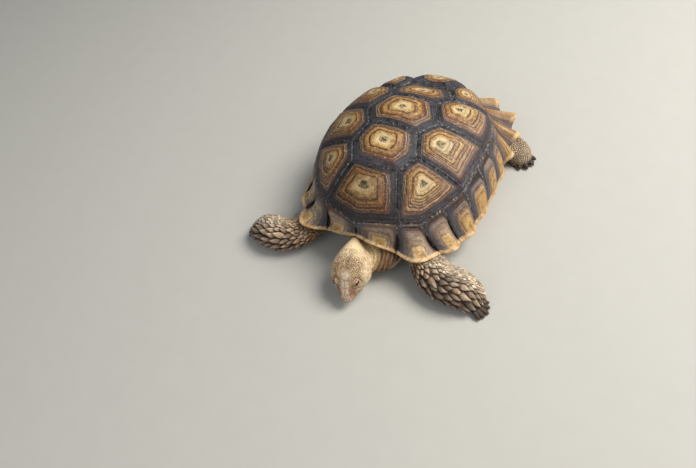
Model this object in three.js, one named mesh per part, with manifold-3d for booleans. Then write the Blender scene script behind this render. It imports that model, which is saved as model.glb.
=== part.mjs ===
// Sulcata tortoise, a still life-size model: millimetres, +Z up, head towards -Y, the animal's left at +X.
// The origin is on the floor, at the flat of the plastron, under the top of the shell.
// Body places are written as (forward, left, up), so forward is -Y and left is +X.
import * as THREE from "three";
import { mergeVertices } from "three/addons/utils/BufferGeometryUtils.js";
import Module from "manifold-3d";

const wasm = await Module();
wasm.setup();

// ---------------------------------------------------------------- driving dimensions

// The carapace follows one dome: half sizes in plan, top and base heights, and the roundness of each.
const dome = { halfLength: 209.5, halfWidth: 169, top: 176, base: 25, planPower: 1.754, risePower: 2.317 };
const rearDrop = { most: 33, from: 30, to: 125, halfWidth: 62 }; // the sunken top of the dome, near the tail

const seamGap = 0.25; // half of the gap between two shell plates
const seamDepth = 1.5; // how far a seam lies below the dome
const plateau = 3.5; // how far the middle of a scute stands above the dome
const rearPlateau = 6.5; // the same for the last vertebral, which is humped
const scuteThickness = 5; // from the seam to the inner face of a scute
const marginalThickness = 8; // of the flared plates along the edge
const rimThickness = 4; // at the outer edge of the marginals
const fleshGap = 0.4; // between flesh pieces, and between flesh and shell

// Junctions of the scute seams on the left half of the carapace, as (forward, left) in plan.
const vertebralSeams = [[99, 40], [28, 43], [-52, 41], [-118, 36]];
const vertebralCorners = [[65, 57], [-8, 64], [-84, 56], [-150, 46]];
// The seam above the marginals, from the front notch to the middle of the tail plate.
const marginalTops = [
  [181, 0], [159, 63], [140, 92], [104, 115], [62, 132], [18, 136], [-24, 136],
  [-66, 131], [-110, 117], [-148, 92], [-176, 62], [-190, 34], [-194, 0],
];
// The outer edge where two marginals meet, as (forward, left, up), in the same order.
const rimSeams = [
  [185, 0, 78], [176, 63, 53], [146, 127, 47], [113, 147, 43], [68, 157, 38], [20, 160, 36], [-24, 160, 36],
  [-68, 157, 37], [-111, 152, 40], [-155, 142, 44], [-190, 116, 47], [-212, 65, 42], [-220, 0, 38],
];
// How far each marginal bulges out past its seams. The right side is smoother behind its front lobe.
const rimLobes = {
  left: [4, 24, 11, 7, 2, 1, 2, 7, 12, 14, 15, 4],
  right: [4, 27, 4, 2, 1, 1, 2, 7, 12, 14, 15, 4],
};
const lobeLift = 0.3; // how far a lobe rises for each millimetre that it bulges
const lobeSkew = { from: 7, power: 1.6 }; // the lobes near the tail bulge most behind their middles
// How far the edge turns outwards at each seam: 0 where it drops straight, 1 where it runs level.
const rimFlare = [0.6, 0.9, 0.9, 0.6, 0.3, 0.1, 0.1, 0.2, 0.5, 0.8, 0.9, 0.8, 0.6];

// Each scute's oldest point, which its growth rings surround, as (forward, left).
const vertebralCentres = [[132, 0], [60, 0], [-9, 0], [-82, 0], [-150, 0]];
const costalCentres = [[95, 79], [30, 77], [-55, 73], [-112, 64]];

const marginalCount = 11; // on each side, before the tail plate
const marginalSpans = 4; // facets along the edge of one marginal
const seamFacet = 22; // length of a facet along the other seams
const limbSides = 14; // facets round a leg
const eyeRadius = 7;

// ---------------------------------------------------------------- colours

const look = (color, roughness) => new THREE.MeshStandardMaterial({ color, roughness, metalness: 0 });
const materials = {
  scute: look(0x7a5a36, 0.55),
  marginal: look(0xa07a45, 0.6),
  plastron: look(0xc9ad78, 0.6),
  skin: look(0xb09070, 0.85),
  limb: look(0x9c7d5b, 0.85),
  eye: look(0x120d0a, 0.1),
};

// ---------------------------------------------------------------- small tools

const up = new THREE.Vector3(0, 0, 1);
const at = (forward, left, height) => new THREE.Vector3(left, -forward, height);
const lerp = THREE.MathUtils.lerp;
const mirrored = (corner) => corner.map((value, axis) => (axis === 1 ? -value : value));

// Interpolates a list of numbers or of corners at a position measured in list steps.
function along(list, position) {
  const first = Math.min(Math.floor(position), list.length - 2);
  const share = position - first;
  const [a, b] = [list[first], list[first + 1]];
  return Array.isArray(a) ? a.map((value, axis) => lerp(value, b[axis], share)) : lerp(a, b, share);
}

// Makes a closed solid from shared points and triangles, with its faces turned outwards.
function solidOf(points, triangles) {
  let volume = 0;
  for (const [a, b, c] of triangles) {
    volume += points[a].dot(new THREE.Vector3().crossVectors(points[b], points[c]));
  }
  const facing = volume > 0 ? triangles : triangles.map(([a, b, c]) => [a, c, b]);
  const mesh = new wasm.Mesh({
    numProp: 3,
    vertProperties: new Float32Array(points.flatMap((point) => point.toArray())),
    triVerts: new Uint32Array(facing.flat()),
  });
  return new wasm.Manifold(mesh);
}

// Skins a row of rings, all with the same even number of points, and closes both ends with a ladder.
function loft(rings) {
  const count = rings[0].length;
  const points = rings.flat();
  const triangles = [];
  for (let ring = 0; ring + 1 < rings.length; ring++) {
    for (let side = 0; side < count; side++) {
      const [a, b] = [ring * count + side, ring * count + ((side + 1) % count)];
      triangles.push([a, b, b + count], [a, b + count, a + count]);
    }
  }
  const end = points.length - count;
  for (let rung = 0; rung + 1 < count / 2; rung++) {
    const [a, b, c, d] = [rung, rung + 1, count - 2 - rung, count - 1 - rung];
    triangles.push([b, a, c], [c, a, d], [end + a, end + b, end + c], [end + a, end + c, end + d]);
  }
  return solidOf(points, triangles.filter(([a, b, c]) => a !== b && b !== c && c !== a));
}

// The largest piece of a solid that a cut has left in several.
function largestPiece(solid) {
  const pieces = solid.decompose();
  return pieces.reduce((largest, piece) => (piece.volume() > largest.volume() ? piece : largest));
}

// Turns a three.js geometry into a solid.
function solidFrom(geometry) {
  const bare = geometry.clone().deleteAttribute("normal").deleteAttribute("uv");
  const merged = mergeVertices(bare, 1e-4);
  const points = [];
  for (let index = 0; index < merged.attributes.position.count; index++) {
    points.push(new THREE.Vector3().fromBufferAttribute(merged.attributes.position, index));
  }
  const order = merged.index.array;
  const triangles = [];
  for (let index = 0; index < order.length; index += 3) triangles.push([...order.slice(index, index + 3)]);
  return solidOf(points, triangles);
}

const body = new THREE.Group();
body.name = "sulcata_tortoise";

// Adds a solid to the body as a named mesh.
function addNode(name, solid, material) {
  const mesh = solid.getMesh();
  const geometry = new THREE.BufferGeometry();
  geometry.setAttribute("position", new THREE.BufferAttribute(mesh.vertProperties, 3));
  geometry.setIndex(new THREE.BufferAttribute(mesh.triVerts, 1));
  geometry.computeVertexNormals();
  const node = new THREE.Mesh(geometry, material);
  node.name = name;
  body.add(node);
}

// ---------------------------------------------------------------- the dome

// Flattens a place in plan to the shell map, a disc with the top of the dome at its middle.
function mapOf([forward, left]) {
  const [x, y] = [forward / dome.halfLength, left / dome.halfWidth];
  const reach = Math.abs(x) ** dome.planPower + Math.abs(y) ** dome.planPower;
  const radius = Math.asin(Math.min(1, Math.sqrt(reach))) * (2 / Math.PI);
  const turn = Math.atan2(y, x);
  return new THREE.Vector2(radius * Math.cos(turn), radius * Math.sin(turn));
}

// Lifts a place on the shell map to the dome, and a height above it along the dome's normal.
function onDome(place, height = 0) {
  const radius = Math.min(place.length(), 0.9999) * (Math.PI / 2);
  const turn = place.angle();
  const [cos, sin] = [Math.cos(turn), Math.sin(turn)];
  const power = dome.planPower;
  const roundness = (Math.abs(cos) ** power + Math.abs(sin) ** power) ** (1 / power);
  const stretch = Math.sin(radius) ** (2 / power) / roundness;
  const rise = (dome.top - dome.base) * Math.cos(radius) ** (2 / dome.risePower);
  const forward = dome.halfLength * cos * stretch;
  const left = dome.halfWidth * sin * stretch;
  const share = THREE.MathUtils.smoothstep(-forward, rearDrop.from, rearDrop.to);
  const drop = rearDrop.most * share * Math.cos(radius) ** 3 * Math.exp(-((left / rearDrop.halfWidth) ** 2));
  const point = at(forward, left, dome.base + rise - drop);
  return height === 0 ? point : point.addScaledVector(domeNormal(place), height);
}

function domeNormal(place) {
  const step = 0.004;
  const clear = place.length() > 0.98 ? place.clone().setLength(0.98) : place;
  const shifted = (dx, dy) => onDome(new THREE.Vector2(clear.x + dx, clear.y + dy));
  const alongLength = shifted(step, 0).sub(shifted(-step, 0));
  const alongWidth = shifted(0, step).sub(shifted(0, -step));
  return alongLength.cross(alongWidth).normalize();
}

const mapGap = (1.2 * seamGap) / dome.halfLength; // the half gap, measured on the shell map

// ---------------------------------------------------------------- vertebral and costal scutes

// Splits the edge between two map places, the same way for both scutes that share it.
function splitEdge(from, to, onMarginals) {
  const length = onDome(from).distanceTo(onDome(to));
  const count = onMarginals ? marginalSpans : THREE.MathUtils.clamp(Math.round(length / seamFacet), 2, 4);
  return Array.from({ length: count }, (_, index) => from.clone().lerp(to, index / count));
}

// Moves each point of a closed loop inwards, square to its two edges.
function insetLoop(loop, amount) {
  const middle = loop.reduce((sum, place) => sum.add(place), new THREE.Vector2()).divideScalar(loop.length);
  return loop.map((place, index) => {
    const before = loop[(index + loop.length - 1) % loop.length];
    const after = loop[(index + 1) % loop.length];
    const squares = [place.clone().sub(before), after.clone().sub(place)].map((edge) => {
      const square = new THREE.Vector2(-edge.y, edge.x).normalize();
      return square.dot(middle.clone().sub(place)) < 0 ? square.negate() : square;
    });
    const bisector = squares[0].clone().add(squares[1]).normalize();
    return place.clone().addScaledVector(bisector, amount / Math.max(0.4, bisector.dot(squares[0])));
  });
}

// A scute from its corners in plan, with a raised middle round its centre and walls down along the seams.
function scute(corners, centre, middleHeight = plateau) {
  const places = corners.map(mapOf);
  const isTop = ([forward, left]) => marginalTops.some(([f, l]) => f === forward && l === Math.abs(left));
  const seam = places.flatMap((place, index) => {
    const next = (index + 1) % places.length;
    return splitEdge(place, places[next], isTop(corners[index]) && isTop(corners[next]));
  });
  const edge = insetLoop(seam, mapGap);
  const middle = mapOf(centre);
  const ringShares = [0.74, 0.4];
  const ringHeights = [middleHeight * 0.45, middleHeight * 0.95];
  const count = seam.length;
  const points = [];
  const walls = seam.map(domeNormal);
  edge.forEach((place, index) => points.push(onDome(place).addScaledVector(walls[index], -seamDepth)));
  ringShares.forEach((share, ring) => {
    for (const place of edge) points.push(onDome(middle.clone().lerp(place, share), ringHeights[ring]));
  });
  const inner = points.length;
  const depth = seamDepth + scuteThickness;
  edge.forEach((place, index) => points.push(onDome(place).addScaledVector(walls[index], -depth)));
  const outerMiddle = points.push(onDome(middle, middleHeight)) - 1;
  const innerMiddle = points.push(onDome(middle, -depth - 1)) - 1;
  const triangles = [];
  for (let side = 0; side < count; side++) {
    const next = (side + 1) % count;
    for (let ring = 0; ring < ringShares.length; ring++) {
      const [a, b] = [ring * count + side, ring * count + next];
      triangles.push([a, b, b + count], [a, b + count, a + count]);
    }
    const last = ringShares.length * count;
    triangles.push([last + side, last + next, outerMiddle]);
    triangles.push([side, inner + next, next], [side, inner + side, inner + next]);
    triangles.push([inner + next, inner + side, innerMiddle]);
  }
  return solidOf(points, triangles);
}

// Corners of a vertebral scute, round its left half and back along its right half.
function vertebralOutline(index) {
  const half = [
    [marginalTops[0], marginalTops[1], vertebralSeams[0]],
    [vertebralSeams[0], vertebralCorners[0], vertebralSeams[1]],
    [vertebralSeams[1], vertebralCorners[1], vertebralSeams[2]],
    [vertebralSeams[2], vertebralCorners[2], vertebralSeams[3]],
    [vertebralSeams[3], vertebralCorners[3], marginalTops[10], marginalTops[11], marginalTops[12]],
  ][index];
  const otherHalf = half.filter((corner) => corner[1] !== 0).map(mirrored).reverse();
  return [...half, ...otherHalf];
}

// Corners of a costal scute on the left side. Each one spans two marginals, and the first spans three.
function costalOutline(index) {
  const front = index === 0 ? [marginalTops[1]] : [vertebralCorners[index - 1]];
  const low = marginalTops.slice(2 * index + 2, 2 * index + 5);
  return [...front, ...low, vertebralCorners[index], vertebralSeams[index]];
}

// ---------------------------------------------------------------- marginal scutes

// The outer edge of the carapace, with each marginal's lobe; position 0 is the front notch, 12 the tail.
function rimPoint(position, lobes) {
  const index = Math.min(Math.floor(position), marginalCount);
  const share = position - index;
  const [forward, left, height] = along(rimSeams, position);
  const [a, b] = [rimSeams[index], rimSeams[index + 1]];
  const outwards = new THREE.Vector2(b[1] - a[1], a[0] - b[0]).normalize();
  const skewed = index >= lobeSkew.from ? share ** lobeSkew.power : share;
  const swell = index === marginalCount ? Math.sin((Math.PI / 2) * share) : Math.sin(Math.PI * skewed);
  const lobe = lobes[index] * Math.max(swell, 0);
  return at(forward + outwards.x * lobe, left + outwards.y * lobe, height + lobeLift * lobe);
}

// One closed section through the marginals: down the outer face, round the edge and back up inside.
function marginalSection(position, grow, lobes) {
  const place = mapBetweenTops(position);
  const seamNormal = domeNormal(place);
  const outerPlace = place.clone().setLength(place.length() + mapGap);
  const start = onDome(outerPlace).addScaledVector(seamNormal, -seamDepth);
  const edge = rimPoint(position, lobes);
  const outwards = edge.clone().sub(start).setZ(0).normalize();
  const slope = outwards.clone().multiplyScalar(seamNormal.z).addScaledVector(up, -seamNormal.dot(outwards));
  const reach = 0.4 * edge.distanceTo(start);
  const flare = along(rimFlare, position);
  const arrive = outwards.clone().multiplyScalar(-flare).addScaledVector(up, 1 - flare).normalize();
  const curve = new THREE.CubicBezierCurve3(
    start,
    start.clone().addScaledVector(slope.normalize(), reach),
    edge.clone().addScaledVector(arrive, reach),
    edge,
  );
  const across = new THREE.Vector3().crossVectors(outwards, up);
  const normal = (share) => new THREE.Vector3().crossVectors(across, curve.getTangent(share)).normalize();
  const face = (share, depth) => curve.getPoint(share).addScaledVector(normal(share), -depth);
  const thick = marginalThickness + grow;
  return [
    face(0, -grow), face(0.34, -grow), face(0.68, -grow), edge.clone().addScaledVector(outwards, grow),
    edge.clone().addScaledVector(outwards, -1.5).addScaledVector(up, -rimThickness - grow),
    face(0.72, thick), face(0.36, thick),
    start.clone().addScaledVector(seamNormal, -scuteThickness - grow),
  ];
}

// The place on the shell map of the seam above the marginals.
function mapBetweenTops(position) {
  const first = Math.min(Math.floor(position), marginalTops.length - 2);
  return mapOf(marginalTops[first]).lerp(mapOf(marginalTops[first + 1]), position - first);
}

// Carries a ring of the left side over to the right.
const mirror = (ring) => ring.map((point) => new THREE.Vector3(-point.x, point.y, point.z));

// Moves the first section a little towards the second, to leave the gap to the next plate.
function inset(sections) {
  const [first, second] = sections;
  const share = seamGap / first[3].distanceTo(second[3]);
  return [first.map((point, index) => point.clone().lerp(second[index], share)), ...sections.slice(1)];
}

// The sections of one marginal, drawn on the left side.
function marginal(index, lobes) {
  const sections = Array.from({ length: marginalSpans + 1 }, (_, span) =>
    marginalSection(index + span / marginalSpans, 0, lobes),
  );
  return inset(inset(sections).reverse()).reverse();
}

// The sections of the tail plate, which crosses from the left side to the right.
function supracaudal() {
  const half = Array.from({ length: marginalSpans }, (_, span) =>
    marginalSection(marginalCount + span / marginalSpans, 0, rimLobes.left),
  );
  const middle = marginalSection(marginalCount + 1, 0, rimLobes.left);
  for (const point of middle) point.x = 0;
  const insetHalf = inset(half);
  return [...insetHalf, middle, ...insetHalf.map(mirror).reverse()];
}

// ---------------------------------------------------------------- plastron

// Stations from the gular fork to the anal notch:
// forward, half width of the flat, half width at the edge, height of the edge, lift off the floor.
const plastronStations = [
  [172, 10, 20, 6, 5],
  [160, 26, 34, 5, 1],
  [140, 44, 54, 6, 0],
  [115, 66, 78, 8, 0],
  [96, 76, 90, 11, 0],
  [80, 82, 134, 22, 0],
  [66, 86, 150, 27, 0],
  [0, 88, 151, 27, 0],
  [-50, 86, 150, 27, 0],
  [-68, 82, 134, 23, 0],
  [-86, 76, 94, 12, 0],
  [-120, 64, 76, 8, 0],
  [-150, 44, 54, 6, 0],
  [-172, 24, 32, 5, 1],
];
const plastronThickness = 9;

// The plastron, or a slightly larger copy of it that trims the flesh.
function plastron(grow) {
  const rings = plastronStations.map(([forward, flat, edge, height, lift], index) => {
    const last = plastronStations.length - 1;
    const place = forward + (index === 0 ? grow : index === last ? -grow : 0);
    const floor = lift - grow;
    const half = [
      [flat, floor],
      [lerp(flat, edge, 0.6) + grow, lift + height * 0.4],
      [edge + grow, lift + height],
      [edge - 2 + grow, lift + height + 4 + grow],
      [Math.min(flat, edge - 12), lift + plastronThickness + grow],
    ];
    const otherHalf = half.map(([left, rise]) => [-left, rise]).reverse();
    return [...half, ...otherHalf].map(([left, rise]) => at(place, left, rise));
  });
  return loft(rings);
}

// ---------------------------------------------------------------- flesh

// A tube through stations of (forward, left, up, half width, half height). Its sections turn with its bends.
function limb(stations, sides, grow) {
  const centres = stations.map(([forward, left, height]) => at(forward, left, height));
  const headings = centres.map((centre, index) => {
    const before = centres[Math.max(index - 1, 0)];
    const after = centres[Math.min(index + 1, centres.length - 1)];
    return after.clone().sub(before).normalize();
  });
  const across = new THREE.Vector3().crossVectors(headings[0], up).normalize();
  const rings = stations.map(([, , , halfWidth, halfHeight], index) => {
    across.addScaledVector(headings[index], -across.dot(headings[index])).normalize();
    const lift = new THREE.Vector3().crossVectors(across, headings[index]);
    return Array.from({ length: sides }, (_, side) => {
      const turn = (2 * Math.PI * side) / sides;
      return centres[index]
        .clone()
        .addScaledVector(across, (halfWidth + grow) * Math.cos(turn))
        .addScaledVector(lift, (halfHeight + grow) * Math.sin(turn));
    });
  });
  return loft(rings);
}

const coneAxis = new THREE.Vector3(0, 1, 0);

// A claw: a slim cone from its root, pointing along a plan direction and slightly down.
function claw(root, heading, length, radius) {
  const cone = new THREE.ConeGeometry(radius, length, 6);
  cone.translate(0, length / 2, 0);
  const turn = new THREE.Quaternion().setFromUnitVectors(coneAxis, heading.clone().normalize());
  cone.applyQuaternion(turn);
  cone.translate(root.x, root.y, root.z);
  return solidFrom(cone);
}

const floorCut = solidFrom(new THREE.BoxGeometry(900, 900, 60).translate(0, 0, -30));

// Shoulder inside the shell, out under the front marginals, and down to the foot on the floor.
const forelegLeft = [
  [100, 84, 50, 24, 24],
  [144, 98, 38, 28, 23],
  [170, 119, 30, 31, 23],
  [181, 145, 27, 32, 24],
  [183, 169, 26, 31, 24],
  [185, 187, 21, 28, 20],
  [188, 200, 14, 23, 13.5],
  [191, 208, 9, 16, 8],
];
const forelegRight = [
  [100, -84, 50, 24, 24],
  [148, -97, 38, 27, 22],
  [180, -114, 29, 28, 20],
  [195, -139, 26, 30, 22],
  [197, -164, 25, 31, 23],
  [195, -186, 21, 27, 20],
  [194, -201, 14, 22, 13.5],
  [194, -209, 9, 15, 8],
];
// Hip inside the shell, knee under the rear marginals, and the round foot that stands on the floor.
const hindlegLeft = [
  [-88, 78, 52, 26, 26],
  [-110, 106, 43, 28, 25],
  [-124, 132, 33, 28, 23],
  [-130, 152, 24, 26, 22],
  [-131, 163, 11, 25, 23],
  [-131, 165, -3, 26, 24],
];
const hindlegRight = hindlegLeft.map(([forward, left, ...rest]) => [forward, -left, ...rest]);
const neckStations = [
  [96, 12, 62, 38, 34],
  [138, 22, 49, 46, 28],
  [166, 26, 38, 47, 22],
  [186, 17, 34, 36, 18],
  [204, 8, 36, 25, 16],
];
const tailStations = [
  [-150, 0, 44, 20, 18],
  [-180, 2, 34, 16, 15],
  [-202, 5, 23, 10, 10],
  [-218, 9, 14, 4, 4],
];

// Claws stand along an arc of the foot, spread in radians, and fan out by a share of it.
const foreClaws = { count: 5, spread: 1.9, fan: 0.5, length: 15, radius: 5, height: 6.5 };
const hindClaws = { count: 4, spread: 1.6, fan: 0.6, length: 12, radius: 5.2, height: 6.5 };

// Claws in a fan round the front of a foot, joined to the leg.
function withClaws(leg, centre, reach, heading, claws) {
  let joined = leg;
  for (let index = 0; index < claws.count; index++) {
    const offset = (index / (claws.count - 1) - 0.5) * claws.spread;
    const place = heading + offset;
    const aim = heading + offset * claws.fan;
    const root = at(
      centre[0] + Math.cos(place) * reach[0],
      centre[1] + Math.sin(place) * reach[1],
      claws.height,
    );
    const direction = at(Math.cos(aim), Math.sin(aim), -0.22);
    joined = joined.add(claw(root, direction, claws.length, claws.radius));
  }
  return joined;
}

// ---------------------------------------------------------------- head

// The head's own frame: the beak tip, the plan direction it faces, how far it looks down and how far it
// leans over to the right.
const degrees = THREE.MathUtils.degToRad;
const headFrame = { tip: at(271.7, 19.9, 17), turn: degrees(14.5), pitch: degrees(27), lean: degrees(6) };
// Stations back from the beak tip: distance, half width, height above the axis, depth below it, and how
// steeply the upper side slopes, where 1 is round.
const headStations = [
  [0, 4, 4, 4.5, 1],
  [5, 8.8, 8.5, 8, 1],
  [14, 15.3, 14, 12, 1.1],
  [27, 24.5, 19.5, 15.5, 1.5],
  [41, 33, 23, 18.5, 1.5],
  [54, 34, 24.5, 20.5, 1.25],
  [68, 30, 24, 21, 1.05],
  [80, 23, 22, 21.5, 1],
  [90, 15.5, 18, 21, 1],
  [100, 8, 11, 20, 1],
  [107, 3.5, 6, 18, 1],
];
const headSides = 16;
// The mouth runs back from under the beak to its corner; below and behind it the jaw wedge is open-ended.
const mouthLine = { front: -20, frontRise: -3.5, cornerBack: 44, cornerRise: -6, jawSlant: 14, floor: -60 };
const eyePlace = { back: 32, across: 14.5, rise: 11 };

// A place in the head's own frame, as a place in the body.
function inHead(back, across, rise) {
  const { tip, turn, pitch, lean } = headFrame;
  const sideways = across * Math.cos(lean) - rise * Math.sin(lean);
  const above = across * Math.sin(lean) + rise * Math.cos(lean);
  const level = -back * Math.cos(pitch) + above * Math.sin(pitch);
  const height = back * Math.sin(pitch) + above * Math.cos(pitch);
  const forward = level * Math.cos(turn) - sideways * Math.sin(turn);
  const left = level * Math.sin(turn) + sideways * Math.cos(turn);
  return at(forward, left, height).add(tip);
}

function headSolid() {
  const rings = headStations.map(([back, halfWidth, above, below, slope]) =>
    Array.from({ length: headSides }, (_, side) => {
      const turn = (2 * Math.PI * side) / headSides;
      const [cos, sin] = [Math.cos(turn), Math.sin(turn)];
      const rise = sin > 0 ? above * sin ** slope : below * sin;
      const width = halfWidth * Math.sign(cos) * Math.abs(cos) ** 0.85;
      return inHead(back, width, rise);
    }),
  );
  return loft(rings);
}

// A wedge under the mouth line, in front of the jaw's corner.
function jawWedge(grow) {
  const { front, frontRise, cornerBack, cornerRise, jawSlant, floor } = mouthLine;
  const half = 60;
  const outline = [
    [front, frontRise + grow],
    [cornerBack + grow, cornerRise + grow],
    [cornerBack + jawSlant + grow, floor],
    [front, floor],
  ];
  return loft([-half, half].map((across) => outline.map(([back, rise]) => inHead(back, across, rise))));
}

function eyeball(side, grow) {
  const centre = inHead(eyePlace.back, eyePlace.across * side, eyePlace.rise);
  const ball = new THREE.SphereGeometry(eyeRadius + grow, 12, 8);
  return solidFrom(ball.translate(centre.x, centre.y, centre.z));
}

// ---------------------------------------------------------------- trunk

const trunkPlan = { middle: -12, halfLength: 150, halfWidth: 116, power: 2.2, sides: 24 };
const trunkClearance = 19; // below the dome
const trunkFloor = 15;
const trunkWall = [[0.8, trunkFloor], [1, 35], [1, 78]]; // share of the plan and height of the lower rings
const trunkShoulders = [0.94, 0.84, 0.68, 0.48, 0.25]; // shares of the plan up over the back

// The body inside the shell, a smaller dome over straight sides.
function trunkSolid() {
  const { middle, halfLength, halfWidth, power, sides } = trunkPlan;
  const ringAt = ([scale, height]) =>
    Array.from({ length: sides }, (_, side) => {
      const turn = (2 * Math.PI * side) / sides;
      const [cos, sin] = [Math.cos(turn), Math.sin(turn)];
      const reach = scale / (Math.abs(cos) ** power + Math.abs(sin) ** power) ** (1 / power);
      return at(middle + halfLength * cos * reach, halfWidth * sin * reach, height);
    });
  const heightAt = (scale) => {
    const share = (scale * halfLength - middle) / (dome.halfLength - trunkClearance);
    const rise = Math.max(0, 1 - share ** dome.planPower) ** (1 / dome.risePower);
    return dome.base + (dome.top - trunkClearance - dome.base) * rise - 6 * scale;
  };
  const rings = [...trunkWall, ...trunkShoulders.map((scale) => [scale, heightAt(scale)])];
  return loft(rings.map(ringAt));
}

// ---------------------------------------------------------------- the whole animal

for (let index = 0; index < vertebralCentres.length; index++) {
  const middleHeight = index === 4 ? rearPlateau : plateau;
  const solid = scute(vertebralOutline(index), vertebralCentres[index], middleHeight);
  addNode(`vertebral_${index + 1}`, solid, materials.scute);
}
for (const [name, side] of [["left", 1], ["right", -1]]) {
  for (let index = 0; index < costalCentres.length; index++) {
    const corners = side > 0 ? costalOutline(index) : costalOutline(index).map(mirrored);
    const centre = side > 0 ? costalCentres[index] : mirrored(costalCentres[index]);
    addNode(`costal_${name}_${index + 1}`, scute(corners, centre), materials.scute);
  }
  for (let index = 0; index < marginalCount; index++) {
    const plate = marginal(index, rimLobes[name]);
    const sections = side > 0 ? plate : plate.map(mirror);
    addNode(`marginal_${name}_${index + 1}`, loft(sections), materials.marginal);
  }
}
addNode("supracaudal", loft(supracaudal()), materials.marginal);
addNode("plastron", plastron(0), materials.plastron);

// A ring with the outer shape of all the marginals, slightly larger, to trim the flesh.
function marginalHull(side) {
  const lobes = side > 0 ? rimLobes.left : rimLobes.right;
  const sections = [];
  for (let step = 0; step <= (marginalCount + 1) * marginalSpans; step++) {
    const section = marginalSection(step / marginalSpans, fleshGap, lobes);
    sections.push(side > 0 ? section : mirror(section));
  }
  return loft(sections);
}

const shellTrim = marginalHull(1).add(marginalHull(-1)).add(plastron(fleshGap));
const legStations = {
  foreleg_left: forelegLeft,
  foreleg_right: forelegRight,
  hindleg_left: hindlegLeft,
  hindleg_right: hindlegRight,
};
const legTrim = Object.values(legStations)
  .map((stations) => limb(stations, limbSides, fleshGap))
  .reduce((joined, leg) => joined.add(leg));
const neckTrim = limb(neckStations, 16, fleshGap);
const tailTrim = limb(tailStations, 10, fleshGap);

// Each foot's claws: the middle of the fan, its reach forward and sideways, its heading, and the claws.
const clawFans = {
  foreleg_left: [[193, 203], [15, 8], 1.45, foreClaws],
  foreleg_right: [[194, -202], [15, 8], -1.45, foreClaws],
  hindleg_left: [[-130, 167], [21, 19], 1.0, hindClaws],
  hindleg_right: [[-130, -167], [21, 19], -1.0, hindClaws],
};
for (const [name, stations] of Object.entries(legStations)) {
  const leg = largestPiece(limb(stations, limbSides, 0).subtract(shellTrim));
  addNode(name, withClaws(leg, ...clawFans[name]).subtract(floorCut), materials.limb);
}

const neck = largestPiece(limb(neckStations, 16, 0).subtract(shellTrim).subtract(legTrim));
const wholeHead = headSolid().subtract(neckTrim);
const sockets = eyeball(1, fleshGap).add(eyeball(-1, fleshGap));
addNode("head", wholeHead.subtract(jawWedge(fleshGap)).subtract(sockets), materials.skin);
addNode("lower_jaw", wholeHead.intersect(jawWedge(0)), materials.skin);
addNode("eye_left", eyeball(1, 0), materials.eye);
addNode("eye_right", eyeball(-1, 0), materials.eye);
addNode("neck", neck, materials.skin);
addNode("tail", limb(tailStations, 10, 0).subtract(shellTrim), materials.skin);
addNode(
  "trunk",
  largestPiece(trunkSolid().subtract(shellTrim).subtract(legTrim).subtract(neckTrim).subtract(tailTrim)),
  materials.skin,
);

export default body;
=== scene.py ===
import math

import bmesh
import bpy
import numpy as np
from mathutils import Matrix, Vector
from mathutils.bvhtree import BVHTree


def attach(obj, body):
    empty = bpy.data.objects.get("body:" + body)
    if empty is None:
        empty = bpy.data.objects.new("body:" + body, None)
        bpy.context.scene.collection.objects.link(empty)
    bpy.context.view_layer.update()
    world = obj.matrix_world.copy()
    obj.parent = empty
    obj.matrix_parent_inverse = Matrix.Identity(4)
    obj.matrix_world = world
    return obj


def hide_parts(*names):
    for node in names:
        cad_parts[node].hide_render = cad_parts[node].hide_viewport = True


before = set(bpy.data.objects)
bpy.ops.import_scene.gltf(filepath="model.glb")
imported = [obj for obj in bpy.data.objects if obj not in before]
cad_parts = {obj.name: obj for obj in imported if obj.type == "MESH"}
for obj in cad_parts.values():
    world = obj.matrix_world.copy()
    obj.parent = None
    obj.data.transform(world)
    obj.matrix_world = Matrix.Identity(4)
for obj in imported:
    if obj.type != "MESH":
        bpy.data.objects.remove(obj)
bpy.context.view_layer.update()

# Shapes are worked out in millimetres in the frame's own axes (x = the animal's left, y = backwards, z = up)
# and turned into metres when a mesh is made. Body places are written as (forward, left, up).
MM = 0.001
SEED = 20

# ---------------------------------------------------------------- driving dimensions

DOME = {"half_length": 209.5, "half_width": 169.0, "top": 176.0, "base": 25.0, "plan": 1.754, "rise": 2.317}
REAR_DROP = {"most": 33.0, "from": 30.0, "to": 125.0, "half_width": 62.0}  # the sunken top near the tail
REAR_FILL = {"most": 7.0, "forward": -134.0, "left": 42.0, "radius": 28.0}  # the seam corners beside it
SEAM_DEPTH = 1.5
PLATEAU, REAR_PLATEAU = 3.5, 5.0  # how high the middle of a scute stands, and that of the last vertebral
SCUTE_THICKNESS = 5.0
MARGINAL_THICKNESS = 8.0
RIM_THICKNESS = 4.0
MARGINALS = 11

# Corners and middles of the scutes in plan, on the midline and on the left, from front to back.
VERTEBRAL_SEAMS = [(99, 40), (28, 43), (-52, 41), (-118, 36)]
VERTEBRAL_CORNERS = [(65, 57), (-8, 64), (-84, 56), (-150, 46)]
MARGINAL_TOPS = [
    (181, 0), (159, 63), (140, 92), (104, 115), (62, 132), (18, 136), (-24, 136),
    (-66, 131), (-110, 117), (-148, 92), (-176, 62), (-190, 34), (-194, 0),
]
# The carapace's edge where the seams between the marginals reach it.
RIM_SEAMS = [
    (185, 0, 78), (176, 63, 53), (146, 127, 47), (113, 147, 43), (68, 157, 38), (20, 160, 36), (-24, 160, 36),
    (-68, 157, 37), (-111, 152, 40), (-155, 142, 44), (-190, 116, 47), (-212, 65, 42), (-220, 0, 38),
]
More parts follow.
